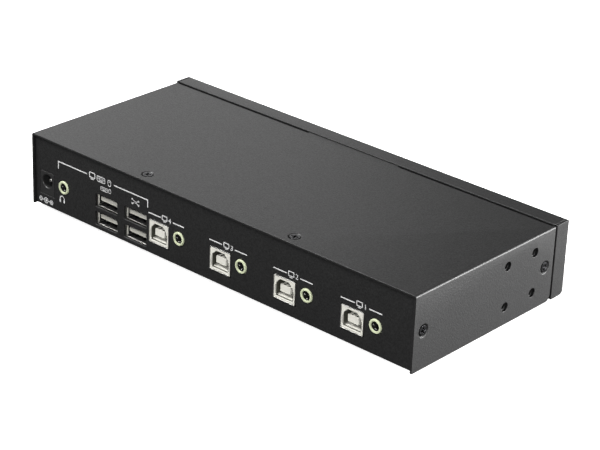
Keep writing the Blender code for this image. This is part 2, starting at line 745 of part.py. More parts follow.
def make_usb_b_sockets(finishes):
    """Each is a sheet sleeve round an insert with a tongue. Y = 0 is the sleeve's front edge."""
    sleeve = bmesh.new()
    add_prism(sleeve, rectangle(USB_B_WIDTH, USB_B_HEIGHT, USB_B_CORNER), "Y", -USB_B_LENGTH, 0)
    bore = bmesh.new()
    inside = (USB_B_WIDTH - 2 * SHELL_SHEET, USB_B_HEIGHT - 2 * SHELL_SHEET)
    inner_corner = USB_B_CORNER - SHELL_SHEET
    add_prism(bore, rectangle(*inside, inner_corner), "Y", -USB_B_LENGTH - SHEET, SHEET)
    sleeve_mesh = combined("usb_b_shell", sleeve, ("DIFFERENCE", bore))

    block = bmesh.new()
    filled = (inside[0] - FIT_GAP, inside[1] - FIT_GAP)
    block_y = (SHELL_SHEET - USB_B_LENGTH, -FIT_GAP)
    add_prism(block, rectangle(*filled, inner_corner), "Y", *block_y)
    opening = bmesh.new()
    add_prism(opening, usb_b_outline(), "Y", -USB_B_DEPTH, SHEET)
    tongue = bmesh.new()
    add_prism(tongue, rectangle(*USB_B_TONGUE), "Y", -USB_B_DEPTH - SHEET, -USB_B_TONGUE_RECESS)
    insert_mesh = combined("usb_b_insert", block, ("DIFFERENCE", opening), ("UNION", tongue))

    for port, x in enumerate(USB_B_X, start=1):
        place = (x, USB_B_FACE_Y, USB_B_BOTTOM + USB_B_HEIGHT / 2)
        add_piece(f"usb_b_shell_{port}", sleeve_mesh, finishes["socket_shell"], place)
        add_piece(f"usb_b_insert_{port}", insert_mesh, finishes["ivory_plastic"], place)


def make_usb_a_stacks(finishes):
    """Two ports over each other behind the rear wall. X = 0 is the stack's middle."""
    face_y = WALL_INNER_Y - FIT_GAP
    case = bmesh.new()
    width = (-USB_A_HALF_WIDTH, USB_A_HALF_WIDTH)
    add_block(case, width, (USB_A_SHELL_REAR_Y, face_y), (USB_A_BOTTOM, USB_A_TOP))
    ports = bmesh.new()
    for z in USB_A_PORT_Z:
        outline = rectangle(*USB_A_PORT, PORT_CORNER, (0, z))
        add_prism(ports, outline, "Y", USB_A_SHELL_REAR_Y - SHEET, face_y + SHEET)
    wings = bmesh.new()
    wing_z = (BOARD_TOP + SEAT_GAP, BOARD_TOP + SEAT_GAP + USB_A_WING[1])
    reach = USB_A_HALF_WIDTH + USB_A_WING[0]
    add_block(wings, (-reach, SHELL_SHEET - USB_A_HALF_WIDTH), USB_A_WING_Y, wing_z)
    add_block(wings, (USB_A_HALF_WIDTH - SHELL_SHEET, reach), USB_A_WING_Y, wing_z)
    shell_mesh = combined("usb_a_shell", case, ("UNION", wings), ("DIFFERENCE", ports))

    block = bmesh.new()
    block_y = (USB_A_SHELL_REAR_Y - USB_A_BLOCK_DEPTH, USB_A_SHELL_REAR_Y - FIT_GAP)
    add_block(block, width, block_y, (USB_A_BOTTOM, USB_A_TOP))
    tongues = bmesh.new()
    for z in USB_A_PORT_Z:
        outline = rectangle(*USB_A_TONGUE, 0.0, (0, z + USB_A_TONGUE_RAISE))
        tongue_y = (USB_A_SHELL_REAR_Y - SHEET, WALL_OUTER_Y - USB_A_TONGUE_RECESS)
        add_prism(tongues, outline, "Y", *tongue_y)
    insert_mesh = combined("usb_a_insert", block, ("UNION", tongues))

    for use, x in USB_A_X.items():
        add_piece(f"usb_a_shell_{use}", shell_mesh, finishes["socket_shell"], (x, 0, 0))
        add_piece(f"usb_a_insert_{use}", insert_mesh, finishes["ivory_plastic"], (x, 0, 0))


def make_audio_jacks(finishes):
    """Each is a box on the board with a round nose through the rear wall."""
    body = bmesh.new()
    rear_y = WALL_INNER_Y - FIT_GAP - AUDIO_BODY_DEPTH
    half = (-AUDIO_BODY_HALF, AUDIO_BODY_HALF)
    body_z = (BOARD_TOP + SEAT_GAP - AUDIO_Z, AUDIO_BODY_TOP - AUDIO_Z)
    add_block(body, half, (rear_y, WALL_INNER_Y - FIT_GAP), body_z)
    nose = bmesh.new()
    along = facing((0, 1, 0), (0, WALL_OUTER_Y, 0))
    profile = [
        (0, -2.5 * SHEET),
        (AUDIO_NOSE_R, -2.5 * SHEET),
        (AUDIO_NOSE_R, AUDIO_PROUD - SOCKET_CHAMFER),
        (AUDIO_NOSE_R - SOCKET_CHAMFER, AUDIO_PROUD),
        (0, AUDIO_PROUD),
    ]
    add_turned(nose, profile, along, NOSE_SEGMENTS)
    bore = bmesh.new()
    bore_end = -(AUDIO_BODY_DEPTH - SHEET)
    profile = [
        (0, bore_end),
        (AUDIO_BORE_R, bore_end),
        (AUDIO_BORE_R, AUDIO_PROUD - SOCKET_CHAMFER),
        (AUDIO_BORE_R + SOCKET_CHAMFER, AUDIO_PROUD),
        (AUDIO_BORE_R + SOCKET_CHAMFER, AUDIO_PROUD + SHEET),
        (0, AUDIO_PROUD + SHEET),
    ]
    add_turned(bore, profile, along)
    mesh = combined("audio_jack", body, ("UNION", nose), ("DIFFERENCE", bore))
    for use, x in AUDIO_X.items():
        add_piece(f"audio_jack_{use}", mesh, finishes["lime_plastic"], (x, 0, AUDIO_Z))


def make_dc_jack(finishes):
    """The power inlet: a block flush with the rear wall and the pin in its barrel."""
    width, depth, height = DC_BODY
    bottom = BOARD_TOP + FIT_GAP
    block = bmesh.new()
    block_x = (DC_X - width / 2, DC_X + width / 2)
    add_block(block, block_x, (WALL_OUTER_Y - depth, WALL_OUTER_Y), (bottom, bottom + height))
    along = facing((0, 1, 0), (DC_X, WALL_OUTER_Y, DC_Z))
    barrel = bmesh.new()
    pin_hole = DC_PIN_R + FIT_GAP
    profile = [
        (0, -depth - SHEET),
        (pin_hole, -depth - SHEET),
        (pin_hole, -DC_HOLE_DEPTH),
        (DC_HOLE_R, -DC_HOLE_DEPTH),
        (DC_HOLE_R, -SOCKET_CHAMFER),
        (DC_HOLE_R + SOCKET_CHAMFER, 0),
        (DC_HOLE_R + SOCKET_CHAMFER, SHEET),
        (0, SHEET),
    ]
    add_turned(barrel, profile, along, NOSE_SEGMENTS)
    mesh = combined("dc_jack_body", block, ("DIFFERENCE", barrel))
    add_piece("dc_jack_body", mesh, finishes["black_plastic"])

    pin = bmesh.new()
    profile = [
        (0, -depth),
        (DC_PIN_R, -depth),
        (DC_PIN_R, -DC_PIN_RECESS - 0.8 * MM),
        (DC_PIN_R * 0.8, -DC_PIN_RECESS - 0.25 * MM),
        (DC_PIN_R * 0.35, -DC_PIN_RECESS),
        (0, -DC_PIN_RECESS),
    ]
    add_turned(pin, profile, along)
    add_piece("dc_jack_pin", to_mesh("dc_jack_pin", pin), finishes["brass"])


# Front controls


def make_buttons(finishes):
    """A button slides along +Y and pushes a plunger into a switch on the board's front edge."""
    rest_y = FRONT_Y - BUTTON_PROUD
    flange_y = FRONT_Y + SHEET + FIT_GAP
    stem_end_y = flange_y + BUTTON_STEM

    cap = bmesh.new()
    add_prism(cap, rectangle(*BUTTON_SIZE, BUTTON_CORNER), "Y", 0, flange_y + SHEET / 2 - rest_y)
    face_edges = [edge for edge in cap.edges if all(vert.co.y == 0 for vert in edge.verts)]
    bmesh.ops.bevel(
        cap, geom=face_edges, offset=BUTTON_EDGE, segments=2, profile=0.5, affect="EDGES"
    )
    flange = bmesh.new()
    grown = (size + 2 * BUTTON_FLANGE for size in BUTTON_SIZE)
    flange_span = (flange_y - rest_y, flange_y + SHEET - rest_y)
    add_prism(flange, rectangle(*grown, BUTTON_CORNER), "Y", *flange_span)
    stem = bmesh.new()
    stem_span = (flange_y + SHEET / 2 - rest_y, stem_end_y - rest_y)
    add_prism(stem, circle(BUTTON_STEM_R, (0, 0)), "Y", *stem_span)
    button_mesh = combined("select_button", cap, ("UNION", flange), ("UNION", stem))

    plunger_y = stem_end_y + FIT_GAP
    plunger_end_y = SWITCH_FACE_Y + PLUNGER_IN_SWITCH
    plunger = bmesh.new()
    add_prism(plunger, circle(PLUNGER_R, (0, 0)), "Y", 0, plunger_end_y - plunger_y)
    plunger_mesh = to_mesh("switch_plunger", plunger)

    body = bmesh.new()
    half = (-SWITCH_WIDTH / 2, SWITCH_WIDTH / 2)
    switch_z = (BOARD_TOP + SEAT_GAP - BUTTON_Z, SWITCH_WIDTH / 2)
    add_block(body, half, (0, SWITCH_DEPTH), switch_z)
    well = bmesh.new()
    well_end = plunger_end_y + BUTTON_TRAVEL + 3 * FIT_GAP - SWITCH_FACE_Y
    add_prism(well, circle(PLUNGER_R + FIT_GAP, (0, 0)), "Y", -SHEET, well_end)
    switch_mesh = combined("button_switch", body, ("DIFFERENCE", well))

    for port, x in enumerate(BUTTON_X, start=1):
        button_at = (x, rest_y, BUTTON_Z)
        add_piece(f"select_button_{port}", button_mesh, finishes["button_plastic"], button_at)
        plunger_at = (x, plunger_y, BUTTON_Z)
        add_piece(f"switch_plunger_{port}", plunger_mesh, finishes["black_plastic"], plunger_at)
        switch_at = (x, SWITCH_FACE_Y, BUTTON_Z)
        add_piece(f"button_switch_{port}", switch_mesh, finishes["black_plastic"], switch_at)


def make_port_lamps(finishes):
    """A round lamp beside each button, on a holder that stands on the board."""
    lens = bmesh.new()
    along = facing((0, -1, 0), (0, FRONT_Y - LED_PROUD, 0))
    profile = [
        (0, 0),
        (LED_R * 0.5, -LED_DOME * 0.13),
        (LED_R * 0.87, -LED_DOME * 0.5),
        (LED_R, -LED_DOME),
        (LED_R, -LED_LENGTH),
        (0, -LED_LENGTH),
    ]
    add_turned(lens, profile, along)
    holder = bmesh.new()
    half = (-LED_HOLDER_HALF, LED_HOLDER_HALF)
    holder_z = (BOARD_TOP + SEAT_GAP - BUTTON_Z, LED_HOLDER_HALF)
    add_block(holder, half, LED_HOLDER_Y, holder_z)
    mesh = combined("port_lamp", lens, ("UNION", holder))
    for port, x in enumerate(BUTTON_X, start=1):
        place = (x + LED_OFFSET, 0, BUTTON_Z)
        add_piece(f"port_lamp_{port}", mesh, finishes["led_lens"], place)


def make_front_label(finishes):
    """A thin film on the front, open round the buttons and the lamps."""
    film = bmesh.new()
    back = FRONT_Y - LABEL_GAP
    width = LABEL_X[1] - LABEL_X[0]
    height = LABEL_Z[1] - LABEL_Z[0]
    middle = (sum(LABEL_X) / 2, sum(LABEL_Z) / 2)
    outline = rectangle(width, height, LABEL_CORNER, middle)
    add_prism(film, outline, "Y", back - LABEL_THICKNESS, back)
    holes = bmesh.new()
    for outline in front_hole_outlines(2 * CUTOUT_GAP):
        add_prism(holes, outline, "Y", back - SHEET, back + SHEET)
    mesh = combined("front_label", film, ("DIFFERENCE", holes))
    add_piece("front_label", mesh, finishes["label_film"])


def main():
    for item in list(bpy.data.objects):
        bpy.data.objects.remove(item)
    origin = bpy.data.objects.new("case_origin", None)
    origin.location = (0, BUTTON_PROUD / 2, FOOT_DROP)
    bpy.context.collection.objects.link(origin)
    finishes = make_materials()
    make_chassis(finishes)
    make_cover(finishes)
    make_case_screws(finishes)
    make_feet(finishes)
    make_board(finishes)
    make_board_fixings(finishes)
    make_components(finishes)
    make_usb_b_sockets(finishes)
    make_usb_a_stacks(finishes)
    make_audio_jacks(finishes)
    make_dc_jack(finishes)
    make_buttons(finishes)
    make_port_lamps(finishes)
    make_front_label(finishes)


main()
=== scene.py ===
"""The looks of a four-port KVM switch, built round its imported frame.

Shapes are made in case coordinates: X runs along the case with the power inlet at +X,
the front face is at -Y, the sockets are at +Y, and Z = 0 is the cover's lower edge.
ORIGIN is that point in the row frame.
"""

import json
import math

import bmesh
import bpy
from mathutils import Matrix, Vector


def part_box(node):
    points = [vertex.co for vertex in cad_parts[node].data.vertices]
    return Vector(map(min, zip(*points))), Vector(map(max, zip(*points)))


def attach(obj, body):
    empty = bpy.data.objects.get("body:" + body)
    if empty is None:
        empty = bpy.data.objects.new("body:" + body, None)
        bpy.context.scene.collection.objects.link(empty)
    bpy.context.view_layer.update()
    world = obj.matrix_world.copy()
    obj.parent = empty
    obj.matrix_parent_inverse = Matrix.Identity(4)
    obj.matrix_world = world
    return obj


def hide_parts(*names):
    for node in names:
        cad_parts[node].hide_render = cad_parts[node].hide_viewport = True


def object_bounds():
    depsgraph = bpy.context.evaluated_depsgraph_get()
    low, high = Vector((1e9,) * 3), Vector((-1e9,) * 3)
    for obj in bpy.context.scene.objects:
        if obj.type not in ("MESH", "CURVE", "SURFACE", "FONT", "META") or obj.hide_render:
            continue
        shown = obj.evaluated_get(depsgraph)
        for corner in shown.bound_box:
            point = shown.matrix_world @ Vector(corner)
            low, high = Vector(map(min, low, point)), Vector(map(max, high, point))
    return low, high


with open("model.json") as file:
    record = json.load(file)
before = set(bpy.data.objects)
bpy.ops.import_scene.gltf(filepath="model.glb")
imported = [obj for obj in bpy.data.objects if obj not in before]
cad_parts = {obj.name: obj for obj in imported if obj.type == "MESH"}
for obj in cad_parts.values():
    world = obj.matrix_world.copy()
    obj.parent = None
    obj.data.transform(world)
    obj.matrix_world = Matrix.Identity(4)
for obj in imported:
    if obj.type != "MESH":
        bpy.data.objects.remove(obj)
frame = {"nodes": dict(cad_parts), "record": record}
cad_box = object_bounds()

MM = 0.001


def mm(*lengths):
    """Lengths in metres from lengths in millimetres."""
    return tuple(length * MM for length in lengths)


def box_of(node):
    """A CAD node's (lowest, highest) corner in case coordinates."""
    low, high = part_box(node)
    return low - ORIGIN, high - ORIGIN


def middle_of(node):
    low, high = box_of(node)
    return (low + high) / 2


def middles(name, uses):
    """The middle X of each node whose name ends in one of the uses."""
    return [middle_of(f"{name}_{use}").x for use in uses]


MIDDLE_Y = (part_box("chassis")[0].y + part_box("top_cover")[1].y) / 2
ORIGIN = Vector((0, MIDDLE_Y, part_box("top_cover")[0].z))

# Case
CHASSIS_LOW, CHASSIS_HIGH = box_of("chassis")
COVER_LOW, COVER_HIGH = box_of("top_cover")
CASE_END = CHASSIS_HIGH.x
COVER_END = COVER_HIGH.x
FRONT_Y = CHASSIS_LOW.y
REAR_Y = COVER_HIGH.y
COVER_TOP = COVER_HIGH.z
FRONT_TOP = CHASSIS_HIGH.z
CHASSIS_LIFT = CHASSIS_LOW.z
SHEET = 1.0 * MM
FIT_GAP = 0.1 * MM
BEND = 1.0 * MM
FRONT_BOTTOM_BEND = 3.0 * MM
FLOOR_Z = CHASSIS_LIFT + SHEET
FLANGE_END_Y = COVER_LOW.y - FIT_GAP
SEAM_GAP = 0.25 * MM
COVER_FRONT_Y = FLANGE_END_Y + SEAM_GAP
TOP_SEAM_CUT = 0.85 * MM
SEAM_TAB_HALF = 26.2 * MM
COVER_CORNER = 3.0 * MM
SIDE_WALL_X = COVER_END - SHEET - FIT_GAP
SIDE_WALL_TOP = 30.5 * MM
WALL_OUTER_Y = REAR_Y - 1.0 * MM
WALL_INNER_Y = WALL_OUTER_Y - SHEET
REAR_BEND = 1.0 * MM
REAR_FLANGE = 9.0 * MM
REAR_FLANGE_Z = COVER_TOP - SHEET - FIT_GAP
CORNER_SLOT = 0.45 * MM
CORNER_RELIEF = 0.6 * MM
EDGE = 0.22 * MM  # how far a punched sheet's edge is rounded

# Holes
SCREW_HEAD_R = 2.85 * MM
SCREW_HEAD_INSET = 0.4 * MM
SCREW_SHANK_R = 1.4 * MM
SCREW_LENGTH = 3.3 * MM
SCREW_CLEARANCE = 0.12 * MM
EAR_HOLE_Y = mm(-27.5, -9.0)
EAR_HOLE_Z = mm(8.3, 26.7)
EAR_HOLE_R = 2.0 * MM
EAR_THREAD_R = 1.45 * MM
CUTOUT_GAP = 0.2 * MM
USB_A_CUTOUT = mm(13.8, 6.2)
USB_A_PORT_Z = mm(5.8, 14.4)
USB_A_PORT = mm(12.5, 5.1)

# Sockets and controls, from the frame
PORTS = range(1, 5)
USB_B_AT = [middle_of(f"usb_b_shell_{port}") for port in PORTS]
USB_B_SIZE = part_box("usb_b_shell_1")[1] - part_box("usb_b_shell_1")[0]
USB_B_FACE_Y = box_of("usb_b_shell_1")[1].y
AUDIO_Z = 13.3 * MM
AUDIO_R = 3.1 * MM
AUDIO_USES = ["console", *PORTS]
STACK_USES = ("keyboard", "hub")
SIDES = ("left", "right")
ENDS = ("front", "rear")
DC_LOW, DC_HIGH = box_of("dc_jack_body")
DC_X = (DC_LOW.x + DC_HIGH.x) / 2
DC_Z = middle_of("dc_jack_pin").z
DC_HOLE_R = 3.1 * MM
BUTTON_AT = [middle_of(f"select_button_{port}") for port in PORTS]
BUTTON_SIZE = mm(12.0, 7.0)
BUTTON_CORNER = 1.2 * MM
LED_R = 1.5 * MM

# Drawing
CUT = "DIFFERENCE"
JOIN = "UNION"
CORNER_SIGNS = ((-1, -1), (1, -1), (1, 1), (-1, 1))
INK = 0.02 * MM
ARC_FINENESS = 0.03 * MM
ROUND = 48
TOUCHING = 1e-7
WELD = 2e-6
FLAT_ANGLE = math.radians(0.5)
SHARP_ANGLE = math.radians(32)
BEVEL_ANGLE = math.radians(35)


# Shapes


def around(middle, reach):
    """A (low, high) pair centred on a middle."""
    return middle - reach, middle + reach


def on_side(sign, *distances):
    """A (low, high) pair from two distances towards the side that the sign names."""
    return sorted(sign * distance for distance in distances)


def quarter_turn(steps):
    """The angles from 0 to a quarter circle."""
    return [math.pi / 2 * step / steps for step in range(steps + 1)]


def arc(centre, radius, angles):
    """Points round a centre, one at each angle."""
    u, v = centre
    return [(u + radius * math.cos(angle), v + radius * math.sin(angle)) for angle in angles]


def dome(radius, base, steps):
    """A turned profile's quarter circle, from its rim at a base up to the axis."""
    return arc((0, base), radius, quarter_turn(steps))


def cylinder(radius, low, high):
    """The profile of a plain cylinder along Z."""
    return [(0, low), (radius, low), (radius, high), (0, high)]


def rounded(*corners):
    """An outline through corners of (u, v, radius), each turned into an arc of its radius."""
    points = []
    for index, (u, v, radius) in enumerate(corners):
        corner = Vector((u, v))
        if radius == 0:
            points.append(corner)
            continue
        before = (Vector(corners[index - 1][:2]) - corner).normalized()
        after = (Vector(corners[(index + 1) % len(corners)][:2]) - corner).normalized()
        half_angle = before.angle(after) / 2
        setback = radius / math.tan(half_angle)
        centre = corner + (before + after).normalized() * radius / math.sin(half_angle)
        spoke = corner + before * setback - centre
        sweep = math.copysign(math.pi - 2 * half_angle, after.cross(before))
        steps = max(2, round(math.sqrt(radius / ARC_FINENESS)))
        points.append(corner + before * setback)
        for step in range(1, steps):
            points.append(centre + Matrix.Rotation(sweep * step / steps, 2) @ spoke)
        points.append(corner + after * setback)
    return points


def rectangle(width, height, radius=0.0, centre=(0.0, 0.0)):
    u, v = centre
    return rounded(
        *((u + across * width / 2, v + up * height / 2, radius) for across, up in CORNER_SIGNS)
    )


def circle(radius, centre=(0.0, 0.0), segments=ROUND):
    return arc(centre, radius, [2 * math.pi * step / segments for step in range(segments)])


def extrude(mesh, faces, by):
    grown = bmesh.ops.extrude_face_region(mesh, geom=faces)["geom"]
    moved = [item for item in grown if isinstance(item, bmesh.types.BMVert)]
    bmesh.ops.translate(mesh, verts=moved, vec=by)


def add_prism(mesh, outline, axis, low, high):
    """Adds an outline run along an axis. It lies in the other two axes, in X, Y, Z order."""
    direction = Vector([float(name == axis) for name in "XYZ"])
    across = [Vector([float(name == other) for name in "XYZ"]) for other in "XYZ" if other != axis]
    corners = [mesh.verts.new(across[0] * u + across[1] * v + direction * low) for u, v in outline]
    extrude(mesh, [mesh.faces.new(corners)], direction * (high - low))
    bmesh.ops.recalc_face_normals(mesh, faces=mesh.faces)


def add_block(mesh, x, y, z):
    """Adds a box from its (low, high) pair along each axis."""
    corners = [(x[0], y[0]), (x[1], y[0]), (x[1], y[1]), (x[0], y[1])]
    add_prism(mesh, corners, "Z", *z)


def add_turned(mesh, profile, placing=None, segments=ROUND):
    """Adds a solid of revolution about Z from (radius, z) pairs that start and end on the axis."""
    known = set(mesh.verts)
    chain = [mesh.verts.new((radius, 0.0, z)) for radius, z in profile]
    edges = [mesh.edges.new(pair) for pair in zip(chain, chain[1:])]
    bmesh.ops.spin(
        mesh,
        geom=chain + edges,
        cent=(0, 0, 0),
        axis=(0, 0, 1),
        angle=2 * math.pi,
        steps=segments,
        use_merge=True,
    )
    turned = [vert for vert in mesh.verts if vert not in known]
    bmesh.ops.remove_doubles(mesh, verts=turned, dist=TOUCHING)
    turned = [vert for vert in mesh.verts if vert not in known]
    if placing:
        bmesh.ops.transform(mesh, matrix=placing, verts=turned)
    bmesh.ops.recalc_face_normals(mesh, faces=mesh.faces)


def facing(direction, place):
    """A matrix that stands a turned shape at a place with its Z axis along a direction."""
    turn = Vector(direction).to_track_quat("Z", "Y").to_matrix().to_4x4()
    return Matrix.Translation(place) @ turn


def shape_of(add, *args):
    """A new shape that holds what one add_ function makes."""
    made = bmesh.new()
    add(made, *args)
    return made


def new_prism(*args):
    return shape_of(add_prism, *args)


def new_block(*args):
    return shape_of(add_block, *args)


def new_turned(*args):
    return shape_of(add_turned, *args)


def to_mesh(name, shape):
    mesh = bpy.data.meshes.new(name)
    shape.to_mesh(mesh)
    shape.free()
    return mesh


def add_object(name, data):
    """A new object of the scene that holds the data."""
    made = bpy.data.objects.new(name, data)
    bpy.context.scene.collection.objects.link(made)
    return made


def evaluated_mesh(holder):
    """The mesh that an object shows, with its modifiers applied."""
    bpy.context.view_layer.update()
    graph = bpy.context.evaluated_depsgraph_get()
    return bpy.data.meshes.new_from_object(holder.evaluated_get(graph))


def combined(name, base, *steps, solver="EXACT"):
    """The mesh of a base shape after each (operation, shape) Boolean in turn."""
    target = add_object("boolean_target", to_mesh(name, base))
    tools = []
    for operation, shape in steps:
        tool = add_object("boolean_tool", to_mesh("boolean_tool", shape))
        modifier = target.modifiers.new(operation, "BOOLEAN")
        modifier.operation = operation
        modifier.solver = solver
        modifier.object = tool
        tools.append(tool)
    mesh = evaluated_mesh(target)
    mesh.name = name
    for helper in [target, *tools]:
        bpy.data.objects.remove(helper)
    return mesh


def cut_sheet(shape, sheet_axis, sheet_at, cut_axis, places):
    """Cuts one wall's faces straight through each of its holes, and marks the cuts."""
    normal = [float(axis == cut_axis) for axis in range(3)]
    for place in places:
        faces = [
            face
            for face in shape.faces
            if abs(face.calc_center_median()[sheet_axis] - sheet_at) < 0.7 * SHEET
        ]
        edges = {edge for face in faces for edge in face.edges}
        verts = {vert for face in faces for vert in face.verts}
        made = bmesh.ops.bisect_plane(
            shape,
            geom=[*faces, *edges, *verts],
            dist=TOUCHING,
            plane_co=[place * part for part in normal],
            plane_no=normal,
        )
        for item in made["geom_cut"]:
            if isinstance(item, bmesh.types.BMEdge):
                item.seam = True


def tidy_faces(mesh, cuts=()):
    """Joins the faces within one plane again, except across the cuts through its holes."""
    shape = bmesh.new()
    shape.from_mesh(mesh)
    bmesh.ops.remove_doubles(shape, verts=shape.verts, dist=WELD)
    bmesh.ops.triangulate(shape, faces=shape.faces)
    for cut in cuts:
        cut_sheet(shape, *cut)
    bmesh.ops.dissolve_limit(
        shape,
        angle_limit=FLAT_ANGLE,
        verts=shape.verts,
        edges=shape.edges,
        delimit={"SEAM"},
    )
    shape.to_mesh(mesh)
    shape.free()


def add_piece(name, mesh, look, stands_for=(), place=(0, 0, 0), bevel=0, body="case", turn=None):
    """One visible piece, finished in a look, that rides on a body of the frame."""
    mesh.materials.clear()
    mesh.materials.append(LOOKS[look])
    mesh.shade_smooth()
    mesh.set_sharp_from_angle(angle=SHARP_ANGLE)
    piece = add_object(name, mesh)
    piece.location = ORIGIN + Vector(place)
    if turn:
        piece.rotation_euler = turn.to_euler()
    if bevel:
        rounding = piece.modifiers.new("edge_round", "BEVEL")
        rounding.width = bevel
        rounding.segments = 2
        rounding.limit_method = "ANGLE"
        rounding.angle_limit = BEVEL_ANGLE
        rounding.use_clamp_overlap = False
        rounding.harden_normals = True
    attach(piece, body)
    if stands_for:
        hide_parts(*stands_for)
    return piece


# Materials


def set_inputs(node, values):
    """Sets a node's inputs by name, each to a value or to another node's output."""
    for name, value in values.items():
        if isinstance(value, bpy.types.NodeSocket):
            node.id_data.links.new(value, node.inputs[name])
        else:
            node.inputs[name].default_value = value


def add_node(tree, kind, values=()):
    """A new shader node of a kind, with its named inputs set."""
    node = tree.nodes.new(f"ShaderNode{kind}")
    set_inputs(node, dict(values))
    return node


def new_look(name, colour, roughness, metallic=0.0):
    """A Principled material; returns it with its node tree and shader."""
    look = bpy.data.materials.new(name)
    look.use_nodes = True
    tree = look.node_tree
    shader = tree.nodes["Principled BSDF"]
    set_inputs(
        shader, {"Base Color": (*colour, 1.0), "Roughness": roughness, "Metallic": metallic}
    )
    return look, tree, shader


def noise(tree, scale, detail=3.0, stretch=(1, 1, 1)):
    """A noise texture in the piece's own coordinates; scale is in features per metre."""
    place = add_node(tree, "TexCoord").outputs["Object"]
    place = add_node(tree, "Mapping", {"Scale": stretch, "Vector": place}).outputs["Vector"]
    values = {"Scale": scale, "Detail": detail, "Vector": place}
    return add_node(tree, "TexNoise", values).outputs["Fac"]


def between(tree, fac, low, high):
    """Spreads the middle of a texture's values over low..high."""
    values = {"Value": fac, "From Min": 0.3, "From Max": 0.7, "To Min": low, "To Max": high}
    return add_node(tree, "MapRange", values).outputs["Result"]


def blend_colours(tree, fac, first, second):
    mix = add_node(tree, "Mix")
    mix.data_type = "RGBA"
    set_inputs(mix, {"A": (*first, 1.0), "B": (*second, 1.0), "Factor": fac})
    return mix.outputs["Result"]


def bump(tree, shader, height, distance):
    """Adds a bump on top of any the shader already has."""
    node = add_node(tree, "Bump", {"Strength": 1.0, "Distance": distance, "Height": height})
    for below in shader.inputs["Normal"].links:
        set_inputs(node, {"Normal": below.from_socket})
    set_inputs(shader, {"Normal": node.outputs["Normal"]})


def shade_of(colour, factor):
    return tuple(channel * factor for channel in colour)


def grained(name, colour, roughness, grain, depth, metallic=0.0, mottle=0.12):
    """A look with a fine surface grain, a little mottling and uneven gloss."""
    look, tree, shader = new_look(name, colour, roughness, metallic)
    fine = noise(tree, grain)
    broad = noise(tree, grain / 12, 4.0)
    tint = between(tree, broad, 0.0, 1.0)
    colours = blend_colours(tree, tint, shade_of(colour, 1 - mottle), shade_of(colour, 1 + mottle))
    gloss = between(tree, fine, *around(roughness, 0.06))
    set_inputs(shader, {"Base Color": colours, "Roughness": gloss})
    bump(tree, shader, fine, depth)
    return look, tree, shader


def powder_coat(name, colour, roughness, specular):
    """Black powder coat: a fine orange-peel grain that glints in raking light."""
    look, tree, shader = grained(name, colour, roughness, 2600, 0.05 * MM, mottle=0.1)
    peel = noise(tree, 1500, 2.0)
    speckle = between(tree, peel, *around(specular, 0.12))
    set_inputs(shader, {"Specular IOR Level": speckle})
    bump(tree, shader, peel, 0.06 * MM)
    return look


def plated(name, colour, roughness):
    """Plated sheet with faint drawing lines along Y."""
    look, tree, shader = grained(name, colour, roughness, 900, 0.002 * MM, metallic=1.0)
    lines = noise(tree, 3000, 2.0, stretch=(1, 0.05, 1))
    bump(tree, shader, lines, 0.001 * MM)
    return look


def moulded(name, colour, roughness, grain=1500, depth=0.012 * MM):
    return grained(name, colour, roughness, grain, depth, mottle=0.04)[0]


def lens_look():
    look, tree, shader = new_look("led_lens", (0.8, 0.86, 0.82), 0.12)
    haze = between(tree, noise(tree, 900), 0.08, 0.2)
    set_inputs(shader, {"Transmission Weight": 0.55, "IOR": 1.5, "Roughness": haze})
    return look


def board_look():
    """Green solder mask over a faint pattern of copper tracks."""
    look, tree, shader = new_look("circuit_board", (0.02, 0.12, 0.05), 0.4)
    pattern = {
        "Vector": add_node(tree, "TexCoord").outputs["Object"],
        "Scale": 260,
        "Mortar Size": 0.06,
        "Color1": (0.016, 0.11, 0.045, 1),
        "Color2": (0.02, 0.13, 0.055, 1),
        "Mortar": (0.05, 0.22, 0.08, 1),
    }
    tracks = add_node(tree, "TexBrick", pattern)
    set_inputs(shader, {"Base Color": tracks.outputs["Color"]})
    bump(tree, shader, tracks.outputs["Fac"], 0.03 * MM)
    return look


PAINT = (0.006, 0.006, 0.0061)
PLATED = {
    "screw_steel": ((0.04, 0.04, 0.042), 0.35),
    "socket_shell": ((0.5, 0.495, 0.475), 0.4),
    "brass": ((0.75, 0.56, 0.26), 0.28),
}
MOULDED = {
    "ivory_plastic": ((0.6, 0.59, 0.535), 0.45),
    "lime_plastic": ((0.52, 0.56, 0.38), 0.32),
    "black_plastic": ((0.012, 0.012, 0.012), 0.45),
    # painted shade: a dark olive-grey that stands for the shade deep inside the USB-B sockets
    "socket_painted_shade": ((0.04, 0.04, 0.03), 0.5),
    "rubber": ((0.014, 0.014, 0.014), 0.8, 1200, 0.03 * MM),
    "label_film": ((0.03, 0.03, 0.032), 0.35, 2600, 0.01 * MM),
    "button_plastic": ((0.06, 0.06, 0.062), 0.42),
    "capacitor_sleeve": ((0.03, 0.04, 0.1), 0.3),
    "white_ink": ((0.62, 0.62, 0.62), 0.5, 3000, 0.004 * MM),
}


LOOKS = {
    "painted_steel": powder_coat("painted_steel", PAINT, 0.5, 0.5),
    "circuit_board": board_look(),
    "led_lens": lens_look(),
    **{name: plated(name, *settings) for name, settings in PLATED.items()},
    **{name: moulded(name, *settings) for name, settings in MOULDED.items()},
}


# Case


def case_screw_places():
    """Each case screw's name, the middle of its head's face and the way it points out."""
    for side, sign in zip(SIDES, (-1, 1)):
        name = f"top_screw_{side}"
        at = middle_of(name)
        yield name, (at.x, at.y, COVER_TOP), (0, 0, 1)
        for end in ENDS:
            name = f"side_screw_{side}_{end}"
            at = middle_of(name)
            yield name, (sign * COVER_END, at.y, at.z), (sign, 0, 0)


TOP_SCREW_X = middles("top_screw", SIDES)
SIDE_HOLE_Y = [*(middle_of(f"side_screw_left_{end}").y for end in ENDS), *EAR_HOLE_Y]


